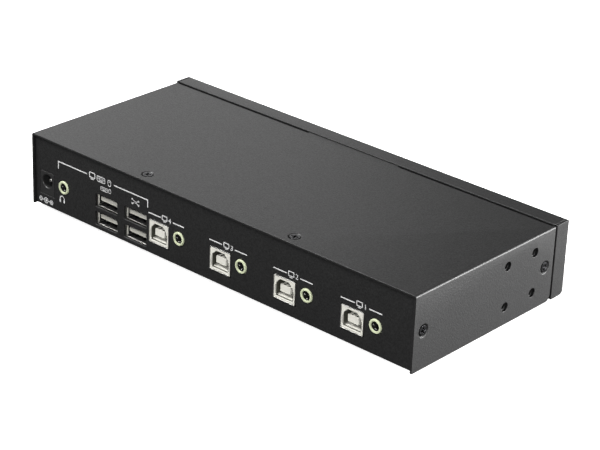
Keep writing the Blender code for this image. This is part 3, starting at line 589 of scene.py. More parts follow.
def case_holes(ear_radius):
    """Cutters for the countersunk case screws, and for rack-ear holes of a radius."""
    holes = bmesh.new()
    mouth = SCREW_HEAD_R + SCREW_CLEARANCE
    shank = SCREW_SHANK_R + SCREW_CLEARANCE
    above = 0.3 * MM
    end = -(SCREW_LENGTH + SHEET)
    profile = [(0, above), (mouth, above), (mouth, 0)]
    profile += [(shank, shank - mouth), (shank, end), (0, end)]
    for _name, place, outward in case_screw_places():
        add_turned(holes, profile, facing(outward, place))
    profile = cylinder(ear_radius, *mm(-3, 3))
    for sign in (-1, 1):
        for y in EAR_HOLE_Y:
            for z in EAR_HOLE_Z:
                add_turned(holes, profile, facing((sign, 0, 0), (sign * COVER_END, y, z)))
    return holes


def front_hole_outlines(margin):
    """The holes for the buttons and the port lamps, grown by a margin."""
    for lamp_x, at in zip(middles("port_lamp", PORTS), BUTTON_AT):
        grown = (size + 2 * margin for size in BUTTON_SIZE)
        yield rectangle(*grown, BUTTON_CORNER + margin, (at.x, at.z))
        yield circle(LED_R + margin, (lamp_x, at.z))


def rear_hole_outlines():
    """The cut-outs in the rear wall, one for each socket or USB-A port."""
    clearance = 2 * CUTOUT_GAP
    corner = 0.4 * MM
    for at in USB_B_AT:
        size = (USB_B_SIZE.x + clearance, USB_B_SIZE.z + clearance)
        yield rectangle(*size, corner, (at.x, at.z))
    for x in middles("audio_jack", AUDIO_USES):
        yield circle(AUDIO_R + CUTOUT_GAP, (x, AUDIO_Z))
    for x in middles("usb_a_shell", STACK_USES):
        for z in USB_A_PORT_Z:
            yield rectangle(*USB_A_CUTOUT, corner, (x, z))
    inlet = (DC_HIGH.x - DC_LOW.x + clearance, DC_HIGH.z - DC_LOW.z + clearance)
    yield rectangle(*inlet, 0.0, (DC_X, (DC_LOW.z + DC_HIGH.z) / 2))


def make_chassis():
    """Floor, front with its rim, rear wall with its flange, and two inner side walls."""
    side_outline = rounded(
        (FRONT_Y, CHASSIS_LIFT, FRONT_BOTTOM_BEND),
        (FLANGE_END_Y, CHASSIS_LIFT, 0),
        (FLANGE_END_Y, FRONT_TOP, 0),
        (FRONT_Y, FRONT_TOP, BEND),
    )
    front = new_prism(side_outline, "X", -CASE_END, CASE_END)
    plan_outline = rounded(
        (-CASE_END, FRONT_Y, BEND),
        (CASE_END, FRONT_Y, BEND),
        (CASE_END, REAR_Y, 0),
        (-CASE_END, REAR_Y, 0),
    )
    plan = new_prism(plan_outline, "Z", -SHEET, FRONT_TOP + SHEET)
    cavity_outline = rounded(
        (FRONT_Y + SHEET, FLOOR_Z, FRONT_BOTTOM_BEND - SHEET),
        (REAR_Y, FLOOR_Z, 0),
        (REAR_Y, FRONT_TOP - SHEET, 0),
        (FRONT_Y + SHEET, FRONT_TOP - SHEET, BEND - SHEET),
    )
    cavity = new_prism(cavity_outline, "X", SHEET - CASE_END, CASE_END - SHEET)
    inside = REAR_BEND - SHEET
    tray_outline = rounded(
        (FRONT_Y + 2 * FRONT_BOTTOM_BEND, CHASSIS_LIFT, 0),
        (WALL_OUTER_Y, CHASSIS_LIFT, REAR_BEND),
        (WALL_OUTER_Y, REAR_FLANGE_Z, REAR_BEND),
        (WALL_OUTER_Y - REAR_FLANGE, REAR_FLANGE_Z, 0),
        (WALL_OUTER_Y - REAR_FLANGE, REAR_FLANGE_Z - SHEET, 0),
        (WALL_INNER_Y, REAR_FLANGE_Z - SHEET, inside),
        (WALL_INNER_Y, FLOOR_Z, inside),
        (FRONT_Y + 2 * FRONT_BOTTOM_BEND, FLOOR_Z, 0),
    )
    tray = new_prism(tray_outline, "X", -SIDE_WALL_X, SIDE_WALL_X)

    side_walls = bmesh.new()
    side_wall_y = (COVER_FRONT_Y, WALL_INNER_Y - 3 * FIT_GAP)
    side_wall_z = (CHASSIS_LIFT + SHEET / 2, SIDE_WALL_TOP)
    for sign in (-1, 1):
        side_wall_x = on_side(sign, SIDE_WALL_X - SHEET, SIDE_WALL_X)
        add_block(side_walls, side_wall_x, side_wall_y, side_wall_z)

    holes = case_holes(EAR_THREAD_R)
    for outline in rear_hole_outlines():
        add_prism(holes, outline, "Y", WALL_INNER_Y - SHEET, REAR_Y)
    for outline in front_hole_outlines(CUTOUT_GAP):
        add_prism(holes, outline, "Y", FRONT_Y - SHEET, FRONT_Y + 2 * SHEET)
    slot_y = (FRONT_Y + BEND, FLANGE_END_Y + SHEET)
    slot_z = (FRONT_TOP - 1.2 * SHEET, FRONT_TOP + SHEET)
    relief_y = (WALL_OUTER_Y - REAR_FLANGE - SHEET, REAR_Y)
    relief_z = (REAR_FLANGE_Z - CORNER_RELIEF, FRONT_TOP)
    for sign in (-1, 1):
        slot_x = on_side(sign, CASE_END - SHEET, CASE_END - SHEET - CORNER_SLOT)
        add_block(holes, slot_x, slot_y, slot_z)
        add_block(holes, on_side(sign, CASE_END, SIDE_WALL_X - CORNER_RELIEF), relief_y, relief_z)

    steps = [("INTERSECT", plan), (CUT, cavity), (JOIN, tray), (JOIN, side_walls), (CUT, holes)]
    mesh = combined("case_chassis", front, *steps, solver="MANIFOLD")
    rear_hole_x = [*middles("usb_b_shell", PORTS), DC_X, *middles("audio_jack", AUDIO_USES)]
    rear_hole_x += middles("usb_a_shell", STACK_USES)
    front_hole_x = middles("select_button", PORTS) + middles("port_lamp", PORTS)
    cuts = [
        (1, (WALL_INNER_Y + WALL_OUTER_Y) / 2, 0, rear_hole_x),
        (1, FRONT_Y + SHEET / 2, 0, front_hole_x),
        (2, REAR_FLANGE_Z - SHEET / 2, 0, TOP_SCREW_X),
    ]
    for sign in (-1, 1):
        cuts.append((0, sign * (SIDE_WALL_X - SHEET / 2), 1, SIDE_HOLE_Y))
    tidy_faces(mesh, cuts)
    add_piece("case_chassis", mesh, "painted_steel", ["chassis"], bevel=EDGE)


def make_cover():
    """An inverted channel over the chassis, with a tab that closes the middle of the seam."""
    inner = COVER_END - SHEET
    inner_bend = BEND - SHEET
    channel_outline = rounded(
        (-COVER_END, 0, 0),
        (-inner, 0, 0),
        (-inner, COVER_TOP - SHEET, inner_bend),
        (inner, COVER_TOP - SHEET, inner_bend),
        (inner, 0, 0),
        (COVER_END, 0, 0),
        (COVER_END, COVER_TOP, BEND),
        (-COVER_END, COVER_TOP, BEND),
    )
    channel = new_prism(channel_outline, "Y", COVER_FRONT_Y, REAR_Y)
    tab_y = (FLANGE_END_Y + FIT_GAP, COVER_FRONT_Y + SHEET)
    tab = new_block(around(0, SEAM_TAB_HALF), tab_y, (COVER_TOP - SHEET, COVER_TOP))

    holes = case_holes(EAR_HOLE_R)
    corner_y = COVER_FRONT_Y + COVER_CORNER
    angles = [1.5 * math.pi - angle for angle in quarter_turn(12)]
    corner = arc((corner_y, COVER_CORNER), COVER_CORNER, angles)
    corner += [(COVER_FRONT_Y - SHEET, COVER_CORNER), (COVER_FRONT_Y - SHEET, -SHEET)]
    corner.append((corner_y, -SHEET))
    cut_y = (COVER_FRONT_Y - SHEET, COVER_FRONT_Y + TOP_SEAM_CUT)
    cut_z = (COVER_TOP - 2 * SHEET, COVER_TOP + SHEET)
    for sign in (-1, 1):
        add_prism(holes, corner, "X", *on_side(sign, COVER_END + SHEET, inner - SHEET))
        add_block(holes, on_side(sign, SEAM_TAB_HALF, COVER_END - 1.5 * SHEET), cut_y, cut_z)

    mesh = combined("case_cover", channel, (JOIN, tab), (CUT, holes))
    cuts = [(0, sign * (COVER_END - SHEET / 2), 1, SIDE_HOLE_Y) for sign in (-1, 1)]
    cuts.insert(0, (2, COVER_TOP - SHEET / 2, 0, TOP_SCREW_X))
    tidy_faces(mesh, cuts)
    add_piece("case_cover", mesh, "painted_steel", ["top_cover"], bevel=EDGE)


def recess_arm(turn):
    """One tapered arm of a cross recess, to be cut down into a head whose top is at Z = 0."""
    length = 3.3 * MM
    arm = new_prism(rectangle(length, length * 0.28), "Z", -1.2 * MM, 0.2 * MM)
    taper = Vector((0.45, 0.6, 1))
    for vert in arm.verts:
        if vert.co.z < 0:
            vert.co *= taper
    bmesh.ops.rotate(arm, verts=arm.verts, matrix=Matrix.Rotation(turn, 3, "Z"))
    return arm


def make_case_screws():
    """Flat countersunk heads, each turned to its own angle."""
    seat = 0.05 * MM
    rim = 0.2 * MM
    head_r = SCREW_HEAD_R - SCREW_HEAD_INSET
    profile = [
        (0, -seat),
        (head_r - 2 * rim, -seat),
        (head_r - 1.25 * rim, -1.3 * seat),
        (head_r - rim, -rim),
        (SCREW_SHANK_R, SCREW_SHANK_R - SCREW_HEAD_R),
        (SCREW_SHANK_R, -SCREW_LENGTH),
        (0, -SCREW_LENGTH),
    ]
    arms = ((CUT, recess_arm(turn)) for turn in (0, math.pi / 2))
    mesh = combined("case_screw", new_turned(profile), *arms)
    for index, (name, place, outward) in enumerate(case_screw_places()):
        turned = Matrix.Rotation(math.radians(17 + 37 * index), 4, "Z")
        turn = (facing(outward, (0, 0, 0)) @ turned).to_quaternion()
        add_piece(f"case_{name}", mesh, "screw_steel", [name], place, 0.06 * MM, turn=turn)


def make_feet():
    """Moulded feet with a hollow for their fixing."""
    low, high = box_of("rubber_foot_left_front")
    radius = (high.x - low.x) / 2
    height = high.z - low.z
    edge = 0.35 * MM
    hollow = radius * 0.4
    corner = [
        (radius - edge + edge * math.sin(angle), edge - edge * math.cos(angle))
        for angle in quarter_turn(6)
    ]
    profile = [(0, height * 0.6), (hollow, height * 0.6), (hollow + edge / 2, 0)]
    profile += [*corner, (radius, height), (0, height)]
    mesh = to_mesh("foot", new_turned(profile))
    for side in SIDES:
        for end in ENDS:
            node = f"rubber_foot_{side}_{end}"
            at = middle_of(node)
            place = (at.x, at.y, low.z)
            add_piece(f"foot_{side}_{end}", mesh, "rubber", [node], place)


# Sockets


def usb_b_outline(width, height, cut):
    """An opening with its two upper corners cut off."""
    return [
        (-width / 2, -height / 2),
        (width / 2, -height / 2),
        (width / 2, height / 2 - cut),
        (width / 2 - cut, height / 2),
        (cut - width / 2, height / 2),
        (-width / 2, height / 2 - cut),
    ]


def add_socket(kind, use, place, parts):
    """One socket's pieces: (part, mesh, look, the start of the CAD node's name, bevel)."""
    for part, mesh, look, node, bevel in parts:
        nodes = [f"{node}_{use}"] if node else ()
        add_piece(f"{kind}_{part}_{use}", mesh, look, nodes, place, bevel)


def make_usb_b_sockets():
    """A plated sleeve round a moulded insert. Y = 0 is the sleeve's front edge."""
    width, length, height = USB_B_SIZE
    wall = 0.3 * MM
    corner = 0.2 * MM
    depth = 9 * MM
    sleeve = new_prism(rectangle(width, height, 0.5 * MM), "Y", -length, 0)
    inside = (width - 2 * wall, height - 2 * wall)
    bore = new_prism(rectangle(*inside, corner), "Y", -length - SHEET, SHEET)
    sleeve_mesh = combined("usb_b_sleeve", sleeve, (CUT, bore))

    filled = (inside[0] - FIT_GAP, inside[1] - FIT_GAP)
    block = new_prism(rectangle(*filled, corner), "Y", wall - length, -FIT_GAP)
    mouth = usb_b_outline(*mm(9.2, 8.1, 2.2))
    opening = new_prism(mouth, "Y", -depth, SHEET)
    step_z = mm(-4.2, -3.4)
    step = new_block(around(0, 4.6 * MM), (-depth, -1.0 * MM), step_z)
    tongue_top = 1.6 * MM
    tongue_y = (-depth - SHEET, -0.8 * MM)
    tongue = new_block(around(0, 2.8 * MM), tongue_y, around(0, tongue_top))
    grooves, keys, contacts = (bmesh.new() for _ in range(3))
    groove_y = (SHEET - depth, -1.3 * MM)
    contact_y = (-depth, -1.6 * MM)
    for sign in (-1, 1):
        groove_x = sign * 1.25 * MM
        for level in (-1, 1):
            groove_z = on_side(level, tongue_top + SHEET, tongue_top - 0.4 * MM)
            add_block(grooves, around(groove_x, 0.5 * MM), groove_y, groove_z)
            contact_z = on_side(level, tongue_top - 0.35 * MM, tongue_top - 0.2 * MM)
            add_block(contacts, around(groove_x, 0.35 * MM), contact_y, contact_z)
        key_z = mm(-3.4, 0.9)
        add_block(keys, on_side(sign, 4.4 * MM, 5.0 * MM), (-depth, SHEET), key_z)
    steps = [(CUT, opening), (CUT, keys), (JOIN, step), (JOIN, tongue), (CUT, grooves)]
    insert_mesh = combined("usb_b_block", block, *steps)
    # Painted shade: a dark sleeve inside the mouth, from 0.45 mm behind its front, stands for the
    # shade deep in the socket.
    painted_shade_lining = new_prism(mouth, "Y", FIT_GAP - depth, -0.45 * MM)
    room = usb_b_outline(*mm(8.9, 7.8, 2.05))
    hollow = new_prism(room, "Y", -depth, SHEET)
    painted_shade_lining_mesh = combined("usb_b_painted_shade", painted_shade_lining, (CUT, hollow))

    # the USB-B contacts are drawn in the same painted-shade look, darker than their metal
    parts = (
        ("sleeve", sleeve_mesh, "socket_shell", "usb_b_shell", 0.1 * MM),
        ("block", insert_mesh, "ivory_plastic", "usb_b_insert", 0.12 * MM),
        ("painted_shade_lining", painted_shade_lining_mesh, "socket_painted_shade", None, 0),
        ("contacts", to_mesh("usb_b_contacts", contacts), "socket_painted_shade", None, 0),
    )
    for port, at in zip(PORTS, USB_B_AT):
        add_socket("usb_b", port, (at.x, USB_B_FACE_Y, at.z), parts)


def make_usb_a_stacks():
    """Two sheet-metal ports over each other in a black block. X = 0 is the stack's middle."""
    width, height = USB_A_PORT
    low, high = box_of("usb_a_shell_hub")
    rear_y = low.y
    face_y = WALL_INNER_Y - FIT_GAP
    half = 7.2 * MM
    wall = 0.3 * MM
    liner_corner = 0.5 * MM
    tongue_end = WALL_OUTER_Y - 2.1 * MM
    through = (rear_y - SHEET, face_y + SHEET)
    liners, ports, rooms, painted_shade_linings, highlight_plates = (bmesh.new() for _ in range(5))
    springs, tongues, contacts = (bmesh.new() for _ in range(3))
    for z in USB_A_PORT_Z:
        for shape, growth, corner, y in (
            (liners, 2 * wall, liner_corner, (rear_y, face_y)),
            (ports, 0, 0.3 * MM, through),
            (rooms, 2 * wall + FIT_GAP, liner_corner, (rear_y, face_y + SHEET)),
        ):
            outline = rectangle(width + growth, height + growth, corner, (0, z))
            add_prism(shape, outline, "Y", *y)
        # Painted shade: black plates over each port's inner top and bottom, and its sides further
        # back, stand for the shade inside the metal port.
        for level in (-1, 1):
            inner = z + level * (height / 2 - FIT_GAP)
            plate_z = sorted((inner, inner + level * FIT_GAP))
            plate_y = (rear_y, face_y - 0.15 * MM)
            add_block(painted_shade_linings, around(0, width / 2 - FIT_GAP), plate_y, plate_z)
        for sign in (-1, 1):
            plate_x = on_side(sign, width / 2 - FIT_GAP, width / 2)
            plate_z = around(z, height / 2 - 0.4 * MM)
            # Painted highlight: pale plates just inside each port's side walls stand for the bright
            # reflection on the metal; the lamps light them.
            add_block(highlight_plates, plate_x, (face_y - 0.8 * MM, face_y - 0.1 * MM), plate_z)
            add_block(painted_shade_linings, plate_x, (rear_y, face_y - 0.85 * MM), plate_z)
        for x in mm(-2.5, 2.5):
            for level in (-1, 1):
                base = z + level * height / 2
                bowed = ((1.2, 0), (2.6, 0.55), (3.2, 0.6), (7, 0))
                tip = [(face_y - back * MM, base - level * rise * MM) for back, rise in bowed]
                outer = [(y, v + level * 0.2 * MM) for y, v in reversed(tip)]
                add_prism(springs, tip + outer, "X", *around(x, 0.45 * MM))
        tongue_z = z + 0.45 * MM
        outline = rectangle(11.1 * MM, 1.8 * MM, 0.25 * MM, (0, tongue_z))
        add_prism(tongues, outline, "Y", rear_y - SHEET, tongue_end)
        contact_y = (rear_y, tongue_end - 1.2 * MM)
        contact_z = (tongue_z - 1.0 * MM, tongue_z - 0.85 * MM)
        for x in mm(-3.5, -1.0, 1.0, 3.5):
            add_block(contacts, around(x, 0.5 * MM), contact_y, contact_z)

    outer = new_block(around(0, half), (rear_y, face_y), (low.z, high.z))
    cavity_z = (low.z + wall, high.z - wall)
    cavity = new_block(around(0, half - wall), through, cavity_z)
    sheet = [(CUT, cavity), (JOIN, liners), (CUT, ports)]
    block_y = (box_of("usb_a_insert_hub")[0].y, rear_y - FIT_GAP)
    block = new_block(around(0, half), block_y, (low.z, high.z))
    inside = wall + FIT_GAP
    filler_y = (rear_y + SHEET, face_y - 0.8 * MM)
    filler_z = (low.z + inside, high.z - inside)
    filler = new_block(around(0, half - inside), filler_y, filler_z)
    filler_mesh = combined("usb_a_filler", filler, (CUT, rooms))
    block_mesh = combined("usb_a_block", block, (JOIN, tongues))
    parts = (
        ("sheet", combined("usb_a_sheet", outer, *sheet), "socket_shell", "usb_a_shell", 0.06 * MM),
        ("block", block_mesh, "ivory_plastic", "usb_a_insert", 0.1 * MM),
        ("painted_shade_lining", to_mesh("usb_a_painted_shade", painted_shade_linings), "black_plastic", None, 0),
        ("highlight_plates", to_mesh("usb_a_highlight_plates", highlight_plates), "ivory_plastic", None, 0),
        ("springs", to_mesh("usb_a_springs", springs), "screw_steel", None, 0),
        ("contacts", to_mesh("usb_a_contacts", contacts), "socket_shell", None, 0),
        ("filler", filler_mesh, "black_plastic", None, 0),
    )
    for use, x in zip(STACK_USES, middles("usb_a_shell", STACK_USES)):
        add_socket("usb_a", use, (x, 0, 0), parts)


def make_audio_jacks():
    """A nose with a rounded lip, and the ends of its springs in the bore."""
    low, high = box_of("audio_jack_console")
    body_x = around(0, (high.x - low.x) / 2)
    body_y = (low.y, WALL_INNER_Y - FIT_GAP)
    body = new_block(body_x, body_y, (low.z - AUDIO_Z, high.z - AUDIO_Z))
    along = facing((0, 1, 0), (0, WALL_OUTER_Y, 0))
    tip = high.y - WALL_OUTER_Y
    root = -2.5 * SHEET
    lip = 0.35 * MM
    outer_lip = arc((AUDIO_R - lip, tip - lip), lip, quarter_turn(8))
    nose = new_turned([(0, root), (AUDIO_R, root), *outer_lip, (0, tip)], along)

    bore_r = 2.15 * MM
    bore_end = low.y + SHEET - WALL_OUTER_Y
    roll = lip / 2
    mouth = bore_r + roll
    inner_lip = [
        (mouth - roll * math.sin(angle), tip - roll + roll * math.cos(angle))
        for angle in reversed(quarter_turn(8))
    ]
    outside = tip + SHEET
    profile = [(0, bore_end), (bore_r, bore_end), *inner_lip, (mouth, outside), (0, outside)]
    bore = new_turned(profile, along)
    nose_mesh = combined("audio_nose", body, (JOIN, nose), (CUT, bore))

    # Painted shade: a black tube inside the lime bore stands for the shade deep in the jack.
    tube = 0.12 * MM
    painted_shade_lining = new_turned(cylinder(bore_r - FIT_GAP / 4, bore_end, -0.2 * MM), along)
    hollow = new_turned(cylinder(bore_r - tube, bore_end + tube, SHEET), along)
    painted_shade_lining_mesh = combined("audio_painted_shade", painted_shade_lining, (CUT, hollow))

    springs = bmesh.new()
    bead_r = 0.34 * MM
    sunk = -0.2 * MM
    bead = [(0, sunk), (bead_r, sunk), *dome(bead_r, 0, 5)]
    for angle in (-10, -75):
        radial = Vector((math.cos(math.radians(angle)), 0, math.sin(math.radians(angle))))
        at = radial * (bore_r - 0.25 * MM) + Vector((0, WALL_OUTER_Y - 1.1 * MM, 0))
        add_turned(springs, bead, facing(-radial, at), 20)
    parts = (
        ("nose", nose_mesh, "lime_plastic", "audio_jack", 0),
        ("painted_shade_lining", painted_shade_lining_mesh, "black_plastic", None, 0),
        ("springs", to_mesh("audio_springs", springs), "socket_shell", None, 0),
    )
    for use, x in zip(AUDIO_USES, middles("audio_jack", AUDIO_USES)):
        add_socket("audio", use, (x, 0, AUDIO_Z), parts)


def make_dc_jack():
    """The power inlet: a block flush with the rear wall, and the split pin in its barrel."""
    along = facing((0, 1, 0), (DC_X, WALL_OUTER_Y, DC_Z))
    block_x = (DC_LOW.x, DC_HIGH.x)
    block = new_block(block_x, (DC_LOW.y, WALL_OUTER_Y), (DC_LOW.z, DC_HIGH.z))
    lip = 0.35 * MM
    mouth = DC_HOLE_R + lip
    depth = 9.5 * MM
    profile = [(0, -depth), (DC_HOLE_R, -depth), (DC_HOLE_R, -lip)]
    profile += [(mouth, 0), (mouth, SHEET), (0, SHEET)]
    barrel = new_turned(profile, along)
    mesh = combined("dc_inlet", block, (CUT, barrel))
    add_piece("dc_inlet", mesh, "black_plastic", ["dc_jack_body"], bevel=0.15 * MM)

    radius = 1.0 * MM
    root = -depth - SHEET
    point = dome(radius, -1.4 * MM - radius, 8)
    pin = new_turned([(0, root), (radius, root), *point], along)
    slit_y = (WALL_OUTER_Y - 6 * MM, WALL_OUTER_Y)
    slit = new_block(around(DC_X, 0.12 * MM), slit_y, around(DC_Z, 2 * radius))
    mesh = combined("dc_pin", pin, (CUT, slit))
    add_piece("dc_pin", mesh, "socket_shell", ["dc_jack_pin"], bevel=0.05 * MM)


# Front controls


def make_buttons():
    """Dished caps with a printed number."""
    low, high = box_of("select_button_1")
    flange_y = FRONT_Y + SHEET + FIT_GAP
    root_y = flange_y + SHEET / 2
    cap = new_prism(rectangle(*BUTTON_SIZE, BUTTON_CORNER), "Y", low.y, root_y)
    face_edges = [
        edge for edge in cap.edges if all(abs(v.co.y - low.y) < TOUCHING for v in edge.verts)
    ]
    bmesh.ops.bevel(
        cap, geom=face_edges, offset=0.45 * MM, segments=5, profile=0.5, affect="EDGES"
    )
    dish_r = 60 * MM
    dish_depth = 0.18 * MM
    dish_outline = circle(dish_r, (low.y + dish_depth - dish_r, 0), 720)
    dish = new_prism(dish_outline, "X", *around(0, 4.6 * MM))
    flange_size = (size + 3 * MM for size in BUTTON_SIZE)
    flange_outline = rectangle(*flange_size, BUTTON_CORNER)
    flange = new_prism(flange_outline, "Y", flange_y, flange_y + SHEET)
    stem = new_prism(circle(2 * MM), "Y", root_y, high.y)
    mesh = combined("button_cap", cap, (JOIN, flange), (JOIN, stem), (CUT, dish))
    number_y = low.y + dish_depth - INK / 2
    number_at = Matrix.Translation((0, number_y, 0)) @ Matrix.Rotation(math.pi / 2, 4, "X")
    for port, at in zip(PORTS, BUTTON_AT):
        place = (at.x, 0, at.z)
        body = f"select_button_{port}"
        add_piece(f"button_cap_{port}", mesh, "button_plastic", [body], place, 0.08 * MM, body)
        digit = text_mesh(str(port), 3.4 * MM)
        digit.transform(number_at)
        add_piece(f"button_number_{port}", digit, "white_ink", place=place, body=body)


def make_port_lamps():
    """Domed lenses over their holders."""
    low, high = box_of("port_lamp_1")
    along = facing((0, -1, 0), (0, low.y, 0))
    profile = [*reversed(dome(LED_R, -LED_R, 10)), (LED_R, -6 * MM), (0, -6 * MM)]
    lens = new_turned(profile, along)
    holder_x = around(0, (high.x - low.x) / 2)
    holder_z = (low.z - BUTTON_AT[0].z, high.z - BUTTON_AT[0].z)
    holder = new_block(holder_x, (FRONT_Y + 4.5 * MM, high.y), holder_z)
    mesh = combined("lamp", lens, (JOIN, holder))
    for port, at in zip(PORTS, BUTTON_AT):
        node = f"port_lamp_{port}"
        place = (middle_of(node).x, 0, at.z)
        add_piece(f"lamp_{port}", mesh, "led_lens", [node], place, 0.06 * MM)


def make_front_label():
    """A thin film on the front, open round the buttons and the lamps."""
    low, high = box_of("front_label")
    centre = ((low.x + high.x) / 2, (low.z + high.z) / 2)
    outline = rectangle(high.x - low.x, high.z - low.z, 1.5 * MM, centre)
    film = new_prism(outline, "Y", low.y, high.y)
    holes = bmesh.new()
    for outline in front_hole_outlines(2 * CUTOUT_GAP):
        add_prism(holes, outline, "Y", low.y - SHEET, high.y + SHEET)
    mesh = combined("label_film", film, (CUT, holes))
    add_piece("label_film", mesh, "label_film", ["front_label"], bevel=0.04 * MM)


# Printing

LINE = 0.5 * MM
RAIL_TICK = 3.5 * MM
CONSOLE_RAIL_Z = 25.1 * MM
CONSOLE_RAIL_U = mm(-94.2, -75.4, -58.45, -37.5)
PORT_RAIL_Z = 19.6 * MM
FRONT_LINE_Z = 17.6 * MM


def text_mesh(text, size):
    """Flat digits in the X-Y plane, centred on the origin, as thick as the ink."""
    curve = bpy.data.curves.new("digit", "FONT")
    curve.body = text
    curve.size = size
    curve.extrude = INK / 2
    curve.align_x = "CENTER"
    curve.align_y = "CENTER"
    holder = add_object("digit", curve)
    mesh = evaluated_mesh(holder)
    bpy.data.objects.remove(holder)
    return mesh


def add_line(mesh, points, width=LINE, closed=False):
    """Adds a printed line along (u, v) points in the X-Y plane, mitred at its corners."""
    flat = [Vector(point) for point in points]
    count = len(flat)
    spans = range(count if closed else count - 1)
    ways = [(flat[(index + 1) % count] - flat[index]).normalized() for index in spans]
    corners = []
    for index, point in enumerate(flat):
        met = [ways[at % len(ways)] for at in (index - 1, index) if closed or at in spans]
        normals = [Vector((-way.y, way.x)) for way in met]
        mitre = sum(normals, Vector((0, 0))).normalized()
        reach = width / 2 / max(0.3, mitre.dot(normals[0]))
        sides = (point + mitre * reach, point - mitre * reach)
        corners.append([mesh.verts.new((*side, -INK / 2)) for side in sides])
    faces = []
    for index in spans:
        left, right = corners[index]
        next_left, next_right = corners[(index + 1) % count]
        faces.append(mesh.faces.new([left, right, next_right, next_left]))
    extrude(mesh, faces, (0, 0, INK))


def add_dot(mesh, outline):
    add_prism(mesh, outline, "Z", -INK / 2, INK / 2)


def add_monitor(mesh, u, v, size):
    """A screen on a foot, size wide."""
    screen = rectangle(size, size * 0.68, size * 0.1, (u, v + size * 0.12))
    add_line(mesh, screen, size * 0.13, closed=True)
    add_line(mesh, [(u, v - size * 0.22), (u, v - size * 0.42)], size * 0.14)
    foot = [(end, v - size * 0.46) for end in around(u, size * 0.28)]
    add_line(mesh, foot, size * 0.12)


def add_keyboard(mesh, u, v, width, height):
    """A rounded frame with two rows of keys and a space bar."""
    line = height * 0.14
    add_line(mesh, rectangle(width, height, height * 0.2, (u, v)), line, closed=True)
    key = width * 0.09
    for row in (0.2, -0.02):
        for column in range(-2, 3):
            at = (u + column * width * 0.165, v + row * height)
            add_dot(mesh, rectangle(key, height * 0.13, 0.0, at))
    add_dot(mesh, rectangle(width * 0.42, height * 0.12, 0.0, (u, v - height * 0.25)))


def add_mouse(mesh, u, v, width, height):
    add_line(mesh, rectangle(width, height, width * 0.45, (u, v)), width * 0.16, closed=True)
    add_line(mesh, [(u, v + height * 0.36), (u, v + height * 0.08)], width * 0.14)


def add_hub(mesh, u, v, size):
    """A box with a node at each corner of a cross."""
    add_dot(mesh, rectangle(size * 0.26, size * 0.2, 0.0, (u, v)))
    for across in (-0.42, 0.42):
        for rise in (-0.22, 0.22):
            end = (u + across * size, v + rise * size)
            add_line(mesh, [(u, v), end], size * 0.07)
            add_dot(mesh, circle(size * 0.1, end, 16))


def add_headphones(mesh, u, v, size):
    """A band over two ear cups."""
    band = [
        (u + size * 0.36 * math.cos(turn), v + size * 0.06 + size * 0.4 * math.sin(turn))
        for turn in (math.pi * step / 14 for step in range(15))
    ]
    add_line(mesh, band, size * 0.1)
    for sign in (-1, 1):
        cup = (u + sign * size * 0.34, v - size * 0.16)
        add_dot(mesh, rectangle(size * 0.2, size * 0.42, size * 0.08, cup))


def add_polarity(mesh, u, v, size):
    """The barrel plug's sign: its centre is positive and its sleeve negative."""
    ring = size * 0.13
    opening_r = ring * 1.35
    line = size * 0.05
    thin = size * 0.045
    add_dot(mesh, circle(ring * 0.62, (u, v), 20))
    angles = [math.radians(30 + 300 * step / 16) for step in range(17)]
    add_line(mesh, arc((u, v), opening_r, angles), line)
    for sign in (-1, 1):
        end = u + sign * size * 0.5
        add_line(mesh, circle(ring, (end, v), 24), thin, closed=True)
        start = u + (opening_r if sign < 0 else ring * 0.5) * sign
        add_line(mesh, [(start, v), (end - sign * ring, v)], line)
        add_line(mesh, [(edge, v) for edge in around(end, ring * 0.6)], thin)
    plus = u + size * 0.5
    add_line(mesh, [(plus, edge) for edge in around(v, ring * 0.6)], thin)


TO_REAR_WALL = Matrix(
    ((-1, 0, 0, 0), (0, 0, 1, WALL_OUTER_Y + INK / 2), (0, 1, 0, 0), (0, 0, 0, 1))
)  # u runs to the right as seen from behind


def print_ink(name, shape, placing=TO_REAR_WALL):
    mesh = to_mesh(name, shape)
    mesh.transform(placing)
    add_piece(name, mesh, "white_ink")


def make_rear_printing():
    """Brackets over the groups of sockets, port numbers and pictograms."""
    console = bmesh.new()
    left, gap_left, gap_right, right = CONSOLE_RAIL_U
    rail_z = CONSOLE_RAIL_Z
    add_line(console, [(left, rail_z - RAIL_TICK), (left, rail_z), (gap_left, rail_z)])
    add_line(console, [(gap_right, rail_z), (right, rail_z), (right, rail_z - RAIL_TICK)])
    middle = (gap_left + gap_right) / 2
    add_monitor(console, middle - 5.3 * MM, rail_z, 3.4 * MM)
    add_keyboard(console, middle + 0.3 * MM, rail_z, *mm(5.0, 2.4))
    add_mouse(console, middle + 5.6 * MM, rail_z, *mm(1.8, 2.8))
    print_ink("print_console", console)

    marks = bmesh.new()
    stack = -middle_of("usb_a_shell_keyboard").x
    hub = -middle_of("usb_a_shell_hub").x
    jack = -middle_of("audio_jack_console").x
    add_keyboard(marks, stack - 1.25 * MM, *mm(21.1, 4.3, 1.7))
    add_mouse(marks, stack + 2.3 * MM, *mm(21.3, 1.5, 1.9))
    add_hub(marks, hub + 0.15 * MM, *mm(21.5, 4.6))
    add_headphones(marks, jack - 1.1 * MM, *mm(7.1, 3.8))
    add_polarity(marks, -DC_X - 0.9 * MM, *mm(3.3, 7.0))
    print_ink("print_console_marks", marks)

    for port, at in zip(PORTS, USB_B_AT):
        group = bmesh.new()
        u = -at.x
        add_line(group, [(u - 6.5 * MM, PORT_RAIL_Z), (u + 0.8 * MM, PORT_RAIL_Z)])
        add_line(group, [(u + 8.25 * MM, PORT_RAIL_Z), (u + 15.0 * MM, PORT_RAIL_Z)])
        add_monitor(group, u + 3.3 * MM, PORT_RAIL_Z, 2.9 * MM)
        digit = text_mesh(str(port), 3.3 * MM)
        digit.transform(Matrix.Translation((u + 6.4 * MM, PORT_RAIL_Z, 0)))
        group.from_mesh(digit)
        print_ink(f"print_port_{port}", group)


